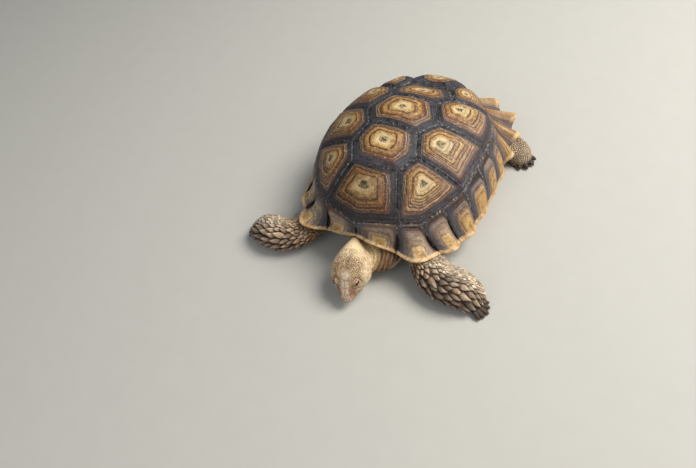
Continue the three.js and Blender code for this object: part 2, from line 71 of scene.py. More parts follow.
# How far each marginal bulges out past its seams. The right side is smoother behind its front lobe.
RIM_LOBES = {1: [4, 24, 11, 7, 2, 1, 2, 7, 12, 14, 15, 4], -1: [4, 27, 4, 2, 1, 1, 2, 7, 12, 14, 15, 4]}
LOBE_LIFT = 0.3
SKEW_FROM, LOBE_SKEW, LOBE_POINT = 7, 1.6, 1.8  # the lobes near the tail lean back and are narrow
# How far the edge turns out at each seam: 0 is upright and 1 level.
RIM_FLARE = [0.6, 0.9, 0.9, 0.6, 0.3, 0.1, 0.1, 0.2, 0.5, 0.8, 0.9, 0.8, 0.6]
VERTEBRAL_CENTRES = [(132, 0), (60, 0), (-9, 0), (-82, 0), (-150, 0)]
COSTAL_CENTRES = [(95, 79), (30, 77), (-55, 73), (-112, 64)]

# ---------------------------------------------------------------- small tools


def smooth(low, high, value):
    """0 below low, 1 above high, and a smooth step between."""
    t = np.clip((value - low) / (high - low), 0, 1)
    return t * t * (3 - 2 * t)


def bump(distance, width):
    """1 at distance 0, fading to nothing over about two widths."""
    return np.exp(-((distance / width) ** 2))


def lattice(points):
    """Smooth random values in -1..1 between the corners of a unit lattice."""
    cell = np.floor(points).astype(np.int64)
    part = points - cell
    part = part * part * (3 - 2 * part)

    def corner(step):
        i, j, k = (cell[..., axis] + step[axis] for axis in range(3))
        mixed = (i * 73856093) ^ (j * 19349663) ^ (k * 83492791)
        mixed = (mixed ^ (mixed >> 13)) * 1274126177
        return ((mixed ^ (mixed >> 16)) & 0xFFFF) / 32767.5 - 1

    total = 0
    for step in ((i, j, k) for i in (0, 1) for j in (0, 1) for k in (0, 1)):
        weight = 1
        for axis in range(3):
            weight = weight * (part[..., axis] if step[axis] else 1 - part[..., axis])
        total = total + weight * corner(step)
    return total


def noise(points, scale, seed=0, octaves=1):
    """Layers of smooth random values, the first with features of the given size."""
    place = np.asarray(points, float) / scale + seed * 17.31 + 0.37
    total = sum(lattice(place * 2**octave) * 0.5**octave for octave in range(octaves))
    return total / sum(0.5**octave for octave in range(octaves))


def strata(values, seed):
    """Random values in -1..1 that change along one coordinate only."""
    values = np.asarray(values, float)
    return noise(np.stack([values, values * 0, values * 0], -1), 1, seed)


def growth(ring, places, count, seed):
    """Growth ridges of uneven width: 0 in a groove and 1 on a ridge, and a random value for each ridge."""
    phase = count * ring + 0.6 * strata(ring * count * 0.3, seed) + 0.14 * noise(places, 15, seed + 1, 2)
    depth = 0.62 + 0.38 * strata(np.round(phase) * 1.7, seed + 2)
    ridge = np.abs(np.sin(np.pi * phase)) ** 0.55
    return 1 - (1 - ridge) * depth, 0.5 + 0.5 * strata(np.floor(phase) * 1.3, seed + 3)


def unit(vectors):
    """Vectors of the same directions and of length 1."""
    return vectors / np.maximum(np.linalg.norm(vectors, axis=-1, keepdims=True), 1e-9)


def place_at(forward, left, height):
    """Body places as points of the frame."""
    return np.stack(np.broadcast_arrays(left, -np.asarray(forward, float), height), -1).astype(float)


def srgb(red, green, blue):
    """A colour in 0..255 screen values, as the linear colour that a shader takes."""
    share = np.array([red, green, blue]) / 255
    linear = np.where(share <= 0.04045, share / 12.92, ((share + 0.055) / 1.055) ** 2.4)
    return tuple(float(value) for value in linear)


# ---------------------------------------------------------------- meshes


def signed_volume(points, faces):
    """Six times the volume inside the faces, negative if they point inwards."""
    total = 0.0
    for step in range(1, faces.shape[1] - 1):
        a, b, c = points[faces[:, 0]], points[faces[:, step]], points[faces[:, step + 1]]
        total += np.einsum("ij,ij->", a, np.cross(b, c))
    return total


def make_object(name, points, face_sets, material, values, uv=None):
    """A mesh object from points in millimetres and arrays of faces, turned so that it faces out."""
    points = np.asarray(points, float)
    face_sets = [np.asarray(faces, np.int64) for faces in face_sets if len(faces)]
    if sum(signed_volume(points, faces) for faces in face_sets) < 0:
        face_sets = [faces[:, ::-1] for faces in face_sets]
    corners = np.concatenate([faces.reshape(-1) for faces in face_sets])
    sizes = np.concatenate([np.full(len(faces), faces.shape[1]) for faces in face_sets])
    mesh = bpy.data.meshes.new(name)
    mesh.vertices.add(len(points))
    mesh.vertices.foreach_set("co", (points * MM).astype(np.float32).ravel())
    mesh.loops.add(len(corners))
    mesh.loops.foreach_set("vertex_index", corners.astype(np.int32))
    mesh.polygons.add(len(sizes))
    mesh.polygons.foreach_set("loop_start", np.concatenate([[0], np.cumsum(sizes)[:-1]]).astype(np.int32))
    mesh.update(calc_edges=True)
    mesh.validate()
    mesh.polygons.foreach_set("use_smooth", np.ones(len(mesh.polygons), bool))
    for key, value in values.items():
        set_values(mesh, key, value)
    if uv is not None:
        layer = mesh.uv_layers.new(name="OFBake")
        order = np.empty(len(mesh.loops), np.int32)
        mesh.loops.foreach_get("vertex_index", order)
        layer.data.foreach_set("uv", uv[order].astype(np.float32).ravel())
    mesh.materials.append(material)
    piece = bpy.data.objects.new(name, mesh)
    bpy.context.collection.objects.link(piece)
    return piece


def set_values(mesh, key, value):
    """Stores one number or one colour for each vertex."""
    value = np.asarray(value, float)
    if value.ndim == 1:
        layer = mesh.attributes.new(key, "FLOAT", "POINT")
        layer.data.foreach_set("value", value.astype(np.float32))
    else:
        layer = mesh.attributes.new(key, "FLOAT_COLOR", "POINT")
        full = np.concatenate([value, np.ones((len(value), 1))], 1)
        layer.data.foreach_set("color", full.astype(np.float32).ravel())


def fan(ring, hub, turned=False):
    """Triangles between a ring of points and a hub."""
    following = np.roll(ring, -1)
    sides = (following, ring) if turned else (ring, following)
    return np.stack([*sides, np.full(len(ring), hub)], -1)


def grid_faces(rows, columns, closed):
    """Quads between the rows of a grid whose rows may close on themselves."""
    last = columns if closed else columns - 1
    row, column = np.meshgrid(np.arange(rows - 1), np.arange(last), indexing="ij")
    a = row * columns + column
    b = row * columns + (column + 1) % columns
    return np.stack([a, b, b + columns, a + columns], -1).reshape(-1, 4)


# ---------------------------------------------------------------- node materials


class Shader:
    """A small helper that builds one principled material out of nodes."""

    def __init__(self, name, roughness=0.6, **sockets):
        self.material = bpy.data.materials.new(name)
        self.material.use_nodes = True
        self.tree = self.material.node_tree
        self.principled = self.tree.nodes["Principled BSDF"]
        self.principled.inputs["Roughness"].default_value = roughness
        for key, value in sockets.items():
            self.principled.inputs[key.replace("_", " ")].default_value = value

    def node(self, kind, **settings):
        made = self.tree.nodes.new("ShaderNode" + kind)
        for key, value in settings.items():
            setattr(made, key, value)
        return made

    def link(self, source, target):
        self.tree.links.new(source, target)

    def feed(self, made, inputs):
        for key, value in inputs.items():
            if isinstance(value, bpy.types.NodeSocket):
                self.link(value, made.inputs[key])
            else:
                made.inputs[key].default_value = value

    def value(self, name):
        return self.node("Attribute", attribute_name=name).outputs["Fac"]

    def values(self, *names):
        return [self.value(name) for name in names]

    def colour(self, name):
        return self.node("Attribute", attribute_name=name).outputs["Color"]

    def math(self, operation, a, b=0.0, c=0.0, clamp=False):
        made = self.node("Math", operation=operation, use_clamp=clamp)
        self.feed(made, {0: a, 1: b, 2: c})
        return made.outputs[0]

    def times(self, a, b):
        return self.math("MULTIPLY", a, b)

    def plus(self, a, b):
        return self.math("ADD", a, b)

    def place(self):
        return self.node("TexCoord").outputs["Object"]

    def noise(self, scale, detail=3.0, roughness=0.55, distortion=0.0, vector=None):
        made = self.node("TexNoise")
        self.feed(made, {"Vector": vector or self.place(), "Scale": scale, "Detail": detail,
                         "Roughness": roughness, "Distortion": distortion})
        return made.outputs["Fac"]

    def mottles(self, broad, medium):
        """Noise in four sizes, from broad clouds down to fine grain."""
        coarse = self.noise(broad, 3, 0.6), self.noise(medium, 5, 0.68)
        return *coarse, self.noise(260, 4, 0.7), self.noise(620, 4, 0.7)

    def layers(self, value, scale, tone, detail=2.0):
        """Noise that changes along one value and hardly over the surface, like growth lines."""
        joined = self.node("CombineXYZ")
        self.feed(joined, {0: self.times(value, scale), 1: self.times(tone, 9.0)})
        return self.noise(1.0, detail, 0.6, vector=joined.outputs[0])

    def cells(self, scale):
        """How far the nearest border between the cells of a random mosaic is."""
        made = self.node("TexVoronoi", feature="DISTANCE_TO_EDGE")
        self.feed(made, {"Vector": self.place(), "Scale": scale})
        return made.outputs["Distance"]

    def ramp(self, factor, stops):
        """A colour that changes along a value, from (place, colour) stops."""
        made = self.node("ValToRGB")
        band = made.color_ramp
        while len(band.elements) < len(stops):
            band.elements.new(0.5)
        for element, (position, colour) in zip(band.elements, stops):
            element.position = position
            element.color = (*colour, 1)
        self.link(factor, made.inputs["Fac"])
        return made.outputs["Color"]

    def span(self, value, low, high, to_low=0.0, to_high=1.0):
        made = self.node("MapRange")
        self.feed(made, {0: value, 1: low, 2: high, 3: to_low, 4: to_high})
        return made.outputs[0]

    def mix(self, factor, a, b, blend="MIX"):
        made = self.node("Mix", data_type="RGBA", blend_type=blend)
        for socket, value in ((made.inputs[0], factor), (made.inputs[6], a), (made.inputs[7], b)):
            if isinstance(value, bpy.types.NodeSocket):
                self.link(value, socket)
            else:
                socket.default_value = (*value, 1) if isinstance(value, tuple) else value
        return made.outputs[2]

    def coats(self, colour, coats, blend="MIX"):
        """Lays coats over a colour. Each has a mask, how strongly it covers, and its colour."""
        for mask, strength, other in coats:
            factor = mask if strength == 1 else self.times(mask, strength)
            colour = self.mix(factor, colour, srgb(*other), blend)
        return colour

    def finish(self, colour, roughness=None, height=None, distance=0.4, strength=0.6):
        """Connects the colour, and the roughness and the bump height in millimetres where given."""
        self.link(colour, self.principled.inputs["Base Color"])
        if roughness is not None:
            self.link(roughness, self.principled.inputs["Roughness"])
        if height is not None:
            made = self.node("Bump")
            self.feed(made, {"Height": height, "Distance": distance * MM, "Strength": strength})
            self.link(made.outputs[0], self.principled.inputs["Normal"])
        return self.material


# ---------------------------------------------------------------- the dome


def map_of(plan):
    """Flattens places in plan to the shell map, a disc with the top of the dome at its middle."""
    x, y = (np.asarray(plan, float)[..., :2] / (DOME["half_length"], DOME["half_width"])).T
    reach = np.abs(x) ** DOME["plan"] + np.abs(y) ** DOME["plan"]
    radius = np.arcsin(np.clip(np.sqrt(reach), 0, 1)) * 2 / np.pi
    turn = np.arctan2(y, x)
    return np.stack([radius * np.cos(turn), radius * np.sin(turn)], -1)


def on_dome(places):
    """Lifts places on the shell map to the dome."""
    radius = np.clip(np.hypot(places[..., 0], places[..., 1]), 0, 0.9999) * np.pi / 2
    turn = np.arctan2(places[..., 1], places[..., 0])
    cos, sin = np.cos(turn), np.sin(turn)
    power = DOME["plan"]
    roundness = (np.abs(cos) ** power + np.abs(sin) ** power) ** (1 / power)
    stretch = np.sin(radius) ** (2 / power) / roundness
    rise = (DOME["top"] - DOME["base"]) * np.cos(radius) ** (2 / DOME["rise"])
    forward = DOME["half_length"] * cos * stretch
    left = DOME["half_width"] * sin * stretch
    drop = REAR_DROP["most"] * smooth(REAR_DROP["from"], REAR_DROP["to"], -forward)
    drop = drop * np.cos(radius) ** 3 * bump(left, REAR_DROP["half_width"])
    to_fill = np.hypot(forward - REAR_FILL["forward"], np.abs(left) - REAR_FILL["left"])
    fill = REAR_FILL["most"] * bump(to_fill, REAR_FILL["radius"])
    return place_at(forward, left, DOME["base"] + rise - drop + fill)


def dome_normal(places):
    """The dome's outward direction, from differences over a short step."""
    step = 0.004
    length = np.hypot(places[..., 0], places[..., 1])[..., None]
    clear = places * np.minimum(1, 0.98 / np.maximum(length, 1e-6))
    along = on_dome(clear + (step, 0)) - on_dome(clear - (step, 0))
    across = on_dome(clear + (0, step)) - on_dome(clear - (0, step))
    return unit(np.cross(along, across))


# ---------------------------------------------------------------- vertebrals and costals

EDGE_POINTS = 150  # points round a scute
RINGS = 84  # rings of points from its oldest part to its edge
RIDGES = 11  # growth ridges of a scute
CORNER_REACH = 7  # how far the inner rings' corners are rounded, in edge points
GOLDEN = 0.618  # spreads the seeds' tones evenly
# How much wider than usual the dark margin of a scute is.
MARGINS = {"vertebral_5_horn": 1.4, "costal_left_4_horn": 1.15, "costal_right_4_horn": 1.3,
           "vertebral_4_horn": 1.08}
# How far a scute is darkened: partly a stain of its horn and partly painted shade over the front and right of
# the shell.
STAIN_AND_SHADE = {"vertebral_1_horn": 0.7, "costal_right_1_horn": 0.5, "costal_right_2_horn": 0.5,
          "costal_right_3_horn": 0.3, "costal_left_1_horn": 0.15}


def outline_points(corners, count):
    """Points evenly spaced round the polygon of a scute on the shell map."""
    places = map_of(corners)
    closed = np.concatenate([places, places[:1]])
    lengths = np.linalg.norm(np.diff(closed, axis=0), axis=1)
    shares = np.round(lengths / lengths.sum() * count).astype(int)
    points = [a + (b - a) * np.linspace(0, 1, number, endpoint=False)[:, None]
              for a, b, number in zip(closed[:-1], closed[1:], shares)]
    return np.concatenate(points)


def rounded(loop, reach):
    """The loop with its corners rounded, by averaging each point with its neighbours."""
    offsets = range(-reach, reach + 1)
    return sum(np.roll(loop, step, axis=0) for step in offsets) / len(offsets)


def scute(name, corners, centre, seed, lowness, plateau=PLATEAU):
    """A scute as growth rings round its oldest point. lowness is how much stronger the lower rings are."""
    loop, middle = outline_points(corners, EDGE_POINTS), map_of(centre)
    count = len(loop)
    share = np.linspace(0, 1, RINGS + 1)[1:]
    roundness = (1 - share)[:, None, None] * 0.9
    edge = loop * (1 - roundness) + rounded(loop, CORNER_REACH) * roundness
    places = middle + share[:, None, None] * (edge - middle)
    base = on_dome(places)
    reach = np.linalg.norm(on_dome(loop) - on_dome(middle), axis=1)
    ring = np.broadcast_to(share[:, None], places.shape[:2])
    outward = unit(loop - middle)
    downhill = unit(middle) * (np.hypot(*middle) > 0.2)
    dusk = np.clip(outward @ downhill, 0, 1)
    low = dusk * lowness
    front = np.clip(0.15 + 0.85 * outward @ np.array([0.87, 0.5]), 0, 1)
    wobble = 0.024 * noise(base, 24, seed, 3) + 0.007 * noise(base, 6, seed + 3)
    bent = ring + wobble * smooth(0.08, 0.3, ring) * (1 - 0.6 * smooth(0.8, 1.0, ring))
    ridge, band = growth(bent, base, RIDGES, seed + 30)
    height = plateau * (1 - smooth(0.32, 1.0, bent)) - SEAM_DEPTH * smooth(0.75, 1.0, ring) - 0.5
    for step in (0.47 + 0.04 * np.sin(seed), 0.70 + 0.03 * np.sin(2.3 * seed)):
        height += 0.6 * (1 - smooth(step, step + 0.04, bent))
    height -= 0.5 * bump(bent - 0.135, 0.02)
    strength = smooth(0.14, 0.26, ring) * (0.55 + 0.85 * low) * (1 + 0.5 * noise(base, 18, seed + 5))
    height += strength * (ridge - 0.6)
    height -= 0.9 * bump((1 - ring) * reach, 1.1)
    height += 0.3 * noise(base, 9, seed + 9, 2) + 0.8 * noise(base, 45, seed + 11)
    height += 0.16 * noise(base, 2.2, seed + 12) * (0.4 + 0.6 * (1 - smooth(0.11, 0.14, bent)))
    surface = base + dome_normal(places) * height[..., None]
    apex_normal = dome_normal(middle)
    apex = on_dome(middle) + apex_normal * (plateau + 0.1)
    inner = on_dome(loop) - dome_normal(loop) * (SEAM_DEPTH + SCUTE_THICKNESS)
    inner_apex = on_dome(middle) - apex_normal * (SEAM_DEPTH + SCUTE_THICKNESS + 1)
    points = np.concatenate([surface.reshape(-1, 3), inner, [apex], [inner_apex]])
    around, last, hub = np.arange(count), RINGS * count, (RINGS + 1) * count
    faces = [grid_faces(RINGS + 1, count, True), fan(around, hub, True), fan(last + around, hub + 1)]

    def spread(grid, under=0, top=0, bottom=0):
        """A value for every point: the surface's, then the lower edge's and the two middles'."""
        outer = np.broadcast_to(grid, ring.shape).ravel()
        return np.concatenate([outer, np.full(count, under), [top, bottom]])

    values = {
        "ring": spread(bent * MARGINS.get(name, 1.0), 1, 0, 1),
        "seam": spread((1 - ring) * reach, 0, 30, 0),
        "low": spread(low),
        "dusk": spread(dusk),
        "front": spread(front),
        "ridge": spread(ridge, 1, 1, 1),
        "band": spread(band, 1, 1, 1),
        "tone": np.full(len(points), (seed * GOLDEN) % 1),
        "stain_and_shade": np.full(len(points), STAIN_AND_SHADE.get(name, 0.0)),
    }
    return make_object(name, points, faces, SCUTE, values)


def scute_material():
    """Horn: a grey oldest part, rings of gold, rust and dark lines with painted glints, a wide blue-black
    seam band streaked with painted sky reflection, and painted shade over some scutes.
    """
    s = Shader("scute_horn", roughness=0.5, Specular_IOR_Level=0.4)
    ring, low, dusk, front, ridge, band, tone, seam, stain_and_shade = s.values(
        "ring", "low", "dusk", "front", "ridge", "band", "tone", "seam", "stain_and_shade")
    broad, medium, small, grain = s.mottles(24, 95)
    moved = s.math("MULTIPLY_ADD", broad, 0.11, s.math("MULTIPLY_ADD", tone, 0.04, -0.075))
    moved = s.plus(s.math("MULTIPLY_ADD", medium, 0.07, moved), s.math("SUBTRACT", ring, 0.035))
    moved = s.math("MULTIPLY_ADD", dusk, s.span(ring, 0.45, 0.75, 0.0, 0.09), moved)
    areola, cream = srgb(156, 138, 98), srgb(226, 200, 148)
    gold, ochre = srgb(204, 164, 96), srgb(178, 128, 64)
    amber, rust, umber = srgb(146, 92, 44), srgb(98, 56, 32), srgb(42, 27, 19)
    tan, rose, night = srgb(186, 152, 120), srgb(150, 120, 104), srgb(17, 16, 18)
    plain = s.ramp(moved, [
        (0.0, areola), (0.08, areola), (0.13, cream), (0.22, cream), (0.31, gold), (0.37, ochre),
        (0.39, umber), (0.415, umber), (0.43, amber), (0.47, gold), (0.54, ochre), (0.58, amber),
        (0.62, rust), (0.65, umber), (0.67, umber), (0.685, tan), (0.70, tan), (0.715, umber),
        (0.735, night), (0.75, rose), (0.765, rose), (0.78, night), (1.0, night)])
    striped = s.ramp(moved, [
        (0.0, areola), (0.08, areola), (0.13, cream), (0.24, cream), (0.36, gold),
        (0.50, tan), (0.70, tan), (0.78, rose), (0.84, rust), (0.89, night), (1.0, night)])
    lines, fine = s.layers(moved, 42.0, tone), s.layers(moved, 120.0, tone, 3.0)
    margin = s.math("MULTIPLY_ADD", dusk, 0.08, ring)
    outer, gone = s.span(margin, 0.74, 0.84), s.span(margin, 0.84, 0.74)
    inner = s.times(s.span(ring, 0.13, 0.26), gone)
    stripe = s.times(s.span(ridge, 0.92, 0.66), s.times(s.span(low, 0.1, 0.4), inner))
    striped = s.coats(striped, [
        (s.times(s.span(band, 0.56, 0.36), inner), 0.7, (112, 74, 50)),
        (stripe, 0.85, (56, 36, 27)),
    ])
    burnt = s.times(s.span(front, 0.25, 1.0), s.times(s.span(ring, 0.28, 0.58), gone))
    burnt = s.times(burnt, s.span(low, 0.6, 0.1, 0.05, 0.55))
    groove = s.times(s.span(ridge, 0.75, 0.35), s.times(inner, s.span(ring, 0.2, 0.42)))
    plum = s.times(s.times(outer, dusk), s.span(ridge, 0.5, 0.8, 0.2, 1.0))
    # The next three masks paint the seam band: its blue-grey, partly the horn's dark colour and partly
    # painted sky reflection, then pale painted reflection streaks and painted highlight specks.
    steel = s.times(s.span(lines, 0.42, 0.6), s.span(medium, 0.36, 0.6))
    sky_reflection = s.times(s.span(fine, 0.50, 0.60), s.span(medium, 0.42, 0.54))
    highlight_flecks = s.times(s.span(small, 0.58, 0.66), s.span(fine, 0.45, 0.6))
    crust = s.times(s.span(seam, 2.6, 1.2), s.span(small, 0.53, 0.60))
    pits = s.times(s.span(ring, 0.16, 0.11), s.span(s.noise(330, 2, 0.5), 0.58, 0.46))
    colour = s.coats(s.mix(s.span(low, 0.1, 0.45), plain, striped), [
        (burnt, 1, (118, 64, 32)),
        (s.times(s.span(medium, 0.48, 0.60), inner), 0.6, (126, 82, 42)),
        (s.times(s.span(small, 0.55, 0.64), inner), 0.6, (62, 38, 23)),
        # Pale cream specks: painted glints.
        (s.times(s.span(small, 0.44, 0.36), inner), 0.5, (234, 208, 156)),
        (groove, 0.75, (44, 27, 18)),
        (s.times(s.span(fine, 0.46, 0.39), inner), 0.5, (66, 41, 25)),
        (s.times(s.span(fine, 0.57, 0.66), inner), 0.4, (226, 200, 148)),
        (plum, 0.45, (88, 68, 68)),
        # Painted sky reflection and painted highlight specks over the blue-grey seam band.
        (s.times(outer, steel), 0.8, (60, 62, 70)),
        (s.times(outer, sky_reflection), 0.6, (118, 120, 130)),
        (s.times(outer, highlight_flecks), 0.7, (168, 160, 154)),
        (crust, 0.6, (176, 166, 154)),
        (pits, 0.85, (58, 50, 38)),
    ])
    colour = s.mix(s.span(grain, 0.34, 0.66, 0.0, 0.35), colour, s.mix(0.5, colour, srgb(40, 26, 18)))
    # Painted shade over some scutes, partly a stain of the horn.
    stained_and_shaded = s.times(stain_and_shade, s.span(medium, 0.3, 0.65, 0.7, 1.0))
    colour = s.mix(stained_and_shaded, colour, srgb(150, 136, 120), "MULTIPLY")
    rough = s.plus(s.span(medium, 0.3, 0.7, 0.36, 0.58), s.times(outer, 0.14))
    height = s.plus(fine, s.plus(s.times(grain, 0.8), small))
    return s.finish(colour, rough, height, distance=0.4, strength=0.9)


def mirrored(corners):
    """Places or stations of the left side, moved to the right side."""
    return [(corner[0], -corner[1], *corner[2:]) for corner in corners]


def vertebral_outline(index):
    """Corners of a vertebral scute, round its left half and back along its right half."""
    if index == 0:
        half = [MARGINAL_TOPS[0], MARGINAL_TOPS[1], VERTEBRAL_SEAMS[0]]
    elif index == len(VERTEBRAL_SEAMS):
        half = [VERTEBRAL_SEAMS[3], VERTEBRAL_CORNERS[3], *MARGINAL_TOPS[10:13]]
    else:
        half = [VERTEBRAL_SEAMS[index - 1], VERTEBRAL_CORNERS[index - 1], VERTEBRAL_SEAMS[index]]
    return half + mirrored([corner for corner in half if corner[1] != 0])[::-1]


def costal_outline(index):
    """Corners of a left costal scute, which spans two marginals, or three at the front."""
    front = [MARGINAL_TOPS[1]] if index == 0 else [VERTEBRAL_CORNERS[index - 1]]
    low = MARGINAL_TOPS[2 * index + 2:2 * index + 5]
    return front + low + [VERTEBRAL_CORNERS[index], VERTEBRAL_SEAMS[index]]


def build_scutes():
    """The five vertebrals along the middle and the four costals on each side."""
    pieces = []
    for index, centre in enumerate(VERTEBRAL_CENTRES):
        name = f"vertebral_{index + 1}"
        plateau = REAR_PLATEAU if index == 4 else PLATEAU
        piece = scute(name + "_horn", vertebral_outline(index), centre, SEED + index, 0.0, plateau)
        pieces.append((name, piece))
    for side, word in ((1, "left"), (-1, "right")):
        for index, centre in enumerate(COSTAL_CENTRES):
            corners = costal_outline(index)
            if side < 0:
                corners, centre = mirrored(corners), (centre[0], -centre[1])
            name = f"costal_{word}_{index + 1}"
            seed = SEED + 10 + index + 5 * (side < 0)
            pieces.append((name, scute(name + "_horn", corners, centre, seed, 1.0)))
    for name, piece in pieces:
        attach(piece, "root")
        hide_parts(name)


# ---------------------------------------------------------------- marginals

MARGINAL_STATIONS = 48  # sections of a plate from its front seam to its rear one
MARGINAL_CREST = 0.64  # where across a plate, from its front seam, the ridge and the oldest horn lie
OUTER_STEPS = 44  # points of a section from the top of the plate to the edge
OUTER_DEPTH = 40  # about how long the outer face is from its top to the edge
RIM_TURNS = (0.25, 0.5, 0.75, 1.0)  # the steps from the edge round to the under side
UNDER_STEPS = np.linspace(0.9, 0.15, 9)  # places on the under side, as shares of the way down the outer face


def along(table, position):
    """Interpolates the rows of a table at positions counted in rows."""
    table = np.asarray(table, float)
    first = np.clip(np.floor(position).astype(int), 0, len(table) - 2)
    share = position - first
    if table.ndim > 1:
        share = share[..., None]
    return table[first] * (1 - share) + table[first + 1] * share


def rim_points(position, side):
    """The outer edge of the carapace, with each marginal's lobe. 0 is the front notch and 12 the tail."""
    index = np.clip(np.floor(position).astype(int), 0, MARGINALS)
    share = position - index
    seam = np.asarray(RIM_SEAMS, float)
    chord = seam[index + 1] - seam[index]
    outwards = unit(np.stack([chord[..., 1], -chord[..., 0]], -1))
    skewed = share ** np.where(index >= SKEW_FROM, LOBE_SKEW, 1.0)
    swell = np.where(index == MARGINALS, np.sin(np.pi / 2 * share), np.maximum(np.sin(np.pi * skewed), 0))
    swell = np.where(index >= SKEW_FROM, swell**LOBE_POINT, swell)
    lobe = np.asarray(RIM_LOBES[side], float)[index] * swell
    forward, left, height = along(RIM_SEAMS, position).T
    return place_at(forward + outwards[:, 0] * lobe, left + outwards[:, 1] * lobe, height + LOBE_LIFT * lobe)


def marginal_sections(position, side):
    """For each position: the outer face's curve, its outward normals, and the frame of the section."""
    tops = map_of(MARGINAL_TOPS)
    places = along(tops, position)
    seam_normal = dome_normal(places)
    start = on_dome(places) - seam_normal * SEAM_DEPTH
    edge = rim_points(position, side)
    up = np.array([0.0, 0.0, 1.0])
    outwards = unit((edge - start) * (1, 1, 0))
    facing = np.einsum("ij,ij->i", seam_normal, outwards)[:, None]
    slope = unit(outwards * seam_normal[:, 2:] - up * facing)
    reach = 0.4 * np.linalg.norm(edge - start, axis=1, keepdims=True)
    flare = along(RIM_FLARE, position)[:, None]
    arrive = unit(-outwards * flare + up * (1 - flare))
    second, third = start + slope * reach, edge + arrive * reach
    t = np.linspace(0, 1, OUTER_STEPS)[None, :, None]
    a, b, c, d = (corner[:, None, :] for corner in (start, second, third, edge))
    curve = a * (1 - t) ** 3 + 3 * b * t * (1 - t) ** 2 + 3 * c * t**2 * (1 - t) + d * t**3
    tangent = 3 * (b - a) * (1 - t) ** 2 + 6 * (c - b) * t * (1 - t) + 3 * (d - c) * t**2
    across = np.cross(outwards, up)[:, None, :]
    normal = unit(np.cross(across, tangent))
    return curve, normal, outwards, start - seam_normal * SCUTE_THICKNESS


def marginal(name, first, last, seed, side=1, folded=False):
    """One edge plate between two positions round the rim; folded is the tail plate, made of two halves."""
    count = MARGINAL_STATIONS * (2 if folded else 1) + 1
    share = np.linspace(0, 1, count)
    position = first + (1 - np.abs(1 - 2 * share) if folded else share * (last - first))
    curve, normal, outwards, inner = marginal_sections(np.clip(position, 0, MARGINALS + 1 - 1e-9), side)
    if folded:
        mirror_half = (share > 0.5)[:, None, None] * (-2.0, 0, 0) + 1.0
        curve, normal = curve * mirror_half, normal * mirror_half
        outwards, inner = outwards * mirror_half[:, 0], inner * mirror_half[:, 0]
    down = np.linspace(0, 1, OUTER_STEPS)
    crest = MARGINAL_CREST
    centred = np.abs(2 * share - 1)[:, None]
    from_crest = np.where(share < crest, 1 - share / crest, (share - crest) / (1 - crest))[:, None]
    across = centred if folded else from_crest
    towards_top = np.clip((0.88 - down) / 0.88, 0, 1)[None, :]
    ring = (across**6 + towards_top**6) ** (1 / 6)
    ring = ring + 0.03 * noise(curve, 22, seed, 3)
    rear = smooth(6.2, 8.2, (first + last) / 2)
    fore = smooth(4.0, 2.0, (first + last) / 2)
    turn = np.cos(np.pi * across) if folded else np.cos(2 * np.pi * (share - crest))[:, None]
    flute = np.sign(turn) * np.abs(turn) ** 0.8 * smooth(0.1, 0.65, down)[None, :]
    height = flute * (1.0 + 2.8 * rear + 0.7 * fore) - 0.4
    ridge, band = growth(ring, curve, RIDGES, seed + 30)
    height += (ridge - 0.6) * (0.7 * smooth(0.15, 0.3, ring) * (1 - smooth(0.9, 1.0, down))[None, :])
    height += 0.35 * noise(curve, 8, seed + 2, 2) + 0.14 * noise(curve, 2.2, seed + 3)
    width = np.linalg.norm(curve[-1, -1] - curve[0, -1]) / 2
    seam = (1 - centred) * (width + 30 if folded else width)
    from_top = down[None, :] * OUTER_DEPTH
    height -= 1.0 * bump(seam, 1.2) + 0.8 * bump(from_top, 1.4)
    outer = curve + normal * height[..., None]
    points = np.concatenate([outer, rim_and_under(outer, curve, normal, outwards, seed), inner[:, None]], 1)
    columns = points.shape[1]

    def spread(grid, rest=1.0):
        """A value for every point: the outer face's, then one value for the rest."""
        full = np.full((count, columns), float(rest))
        full[:, :OUTER_STEPS] = grid
        return full

    downs = spread(down)
    downs[:, OUTER_STEPS + len(RIM_TURNS):] = 1.3
    values = {
        "ring": spread(ring),
        "down": downs,
        "seam": spread(np.minimum(seam, from_top), 9.0),
        "ridge": spread(ridge),
        "band": spread(band),
        "side": np.repeat((0.6 + 0 * share if folded else share)[:, None], columns, 1),
        "rear": np.full((count, columns), rear),
        "fore": np.full((count, columns), fore),
        "tone": np.full((count, columns), (seed * GOLDEN) % 1),
    }
    values = {key: value.ravel() for key, value in values.items()}
    caps = ladder(columns, 0), ladder(columns, (count - 1) * columns)[:, ::-1]
    faces = [grid_faces(count, columns, True), *caps]
    return make_object(name, points.reshape(-1, 3) * (side, 1, 1), faces, MARGINAL, values)


def rim_and_under(outer, curve, normal, outwards, seed):
    """The rounded edge below an outer face and the plate's under side, which follows the plain curve."""
    wear = 0.8 * noise(curve[:, -1], 5, seed + 4, 2)[:, None]
    up = np.array([0.0, 0.0, 1.0])
    rim = []
    for turn in RIM_TURNS:
        swell = math.sin(math.pi * turn) * 1.2 + wear * 0.3
        rim.append(outer[:, -1] + outwards * swell - up * RIM_THICKNESS * turn - outwards * 1.5 * turn)
    steps = (UNDER_STEPS * (OUTER_STEPS - 1)).astype(int)
    thickness = MARGINAL_THICKNESS * smooth(1.0, 0.8, UNDER_STEPS)[None, :, None]
    under = curve[:, steps] - normal[:, steps] * thickness
    return np.concatenate([np.stack(rim, 1), under], 1)


def ladder(count, start):
    """Triangles that close a ring of points by joining its two sides rung by rung."""
    faces = []
    low, high = 0, count - 1
    while high - low > 1:
        faces.append((start + low, start + low + 1, start + high))
        if high - low > 2:
            faces.append((start + low + 1, start + high - 1, start + high))
        low, high = low + 1, high - 1
    return np.array(faces)


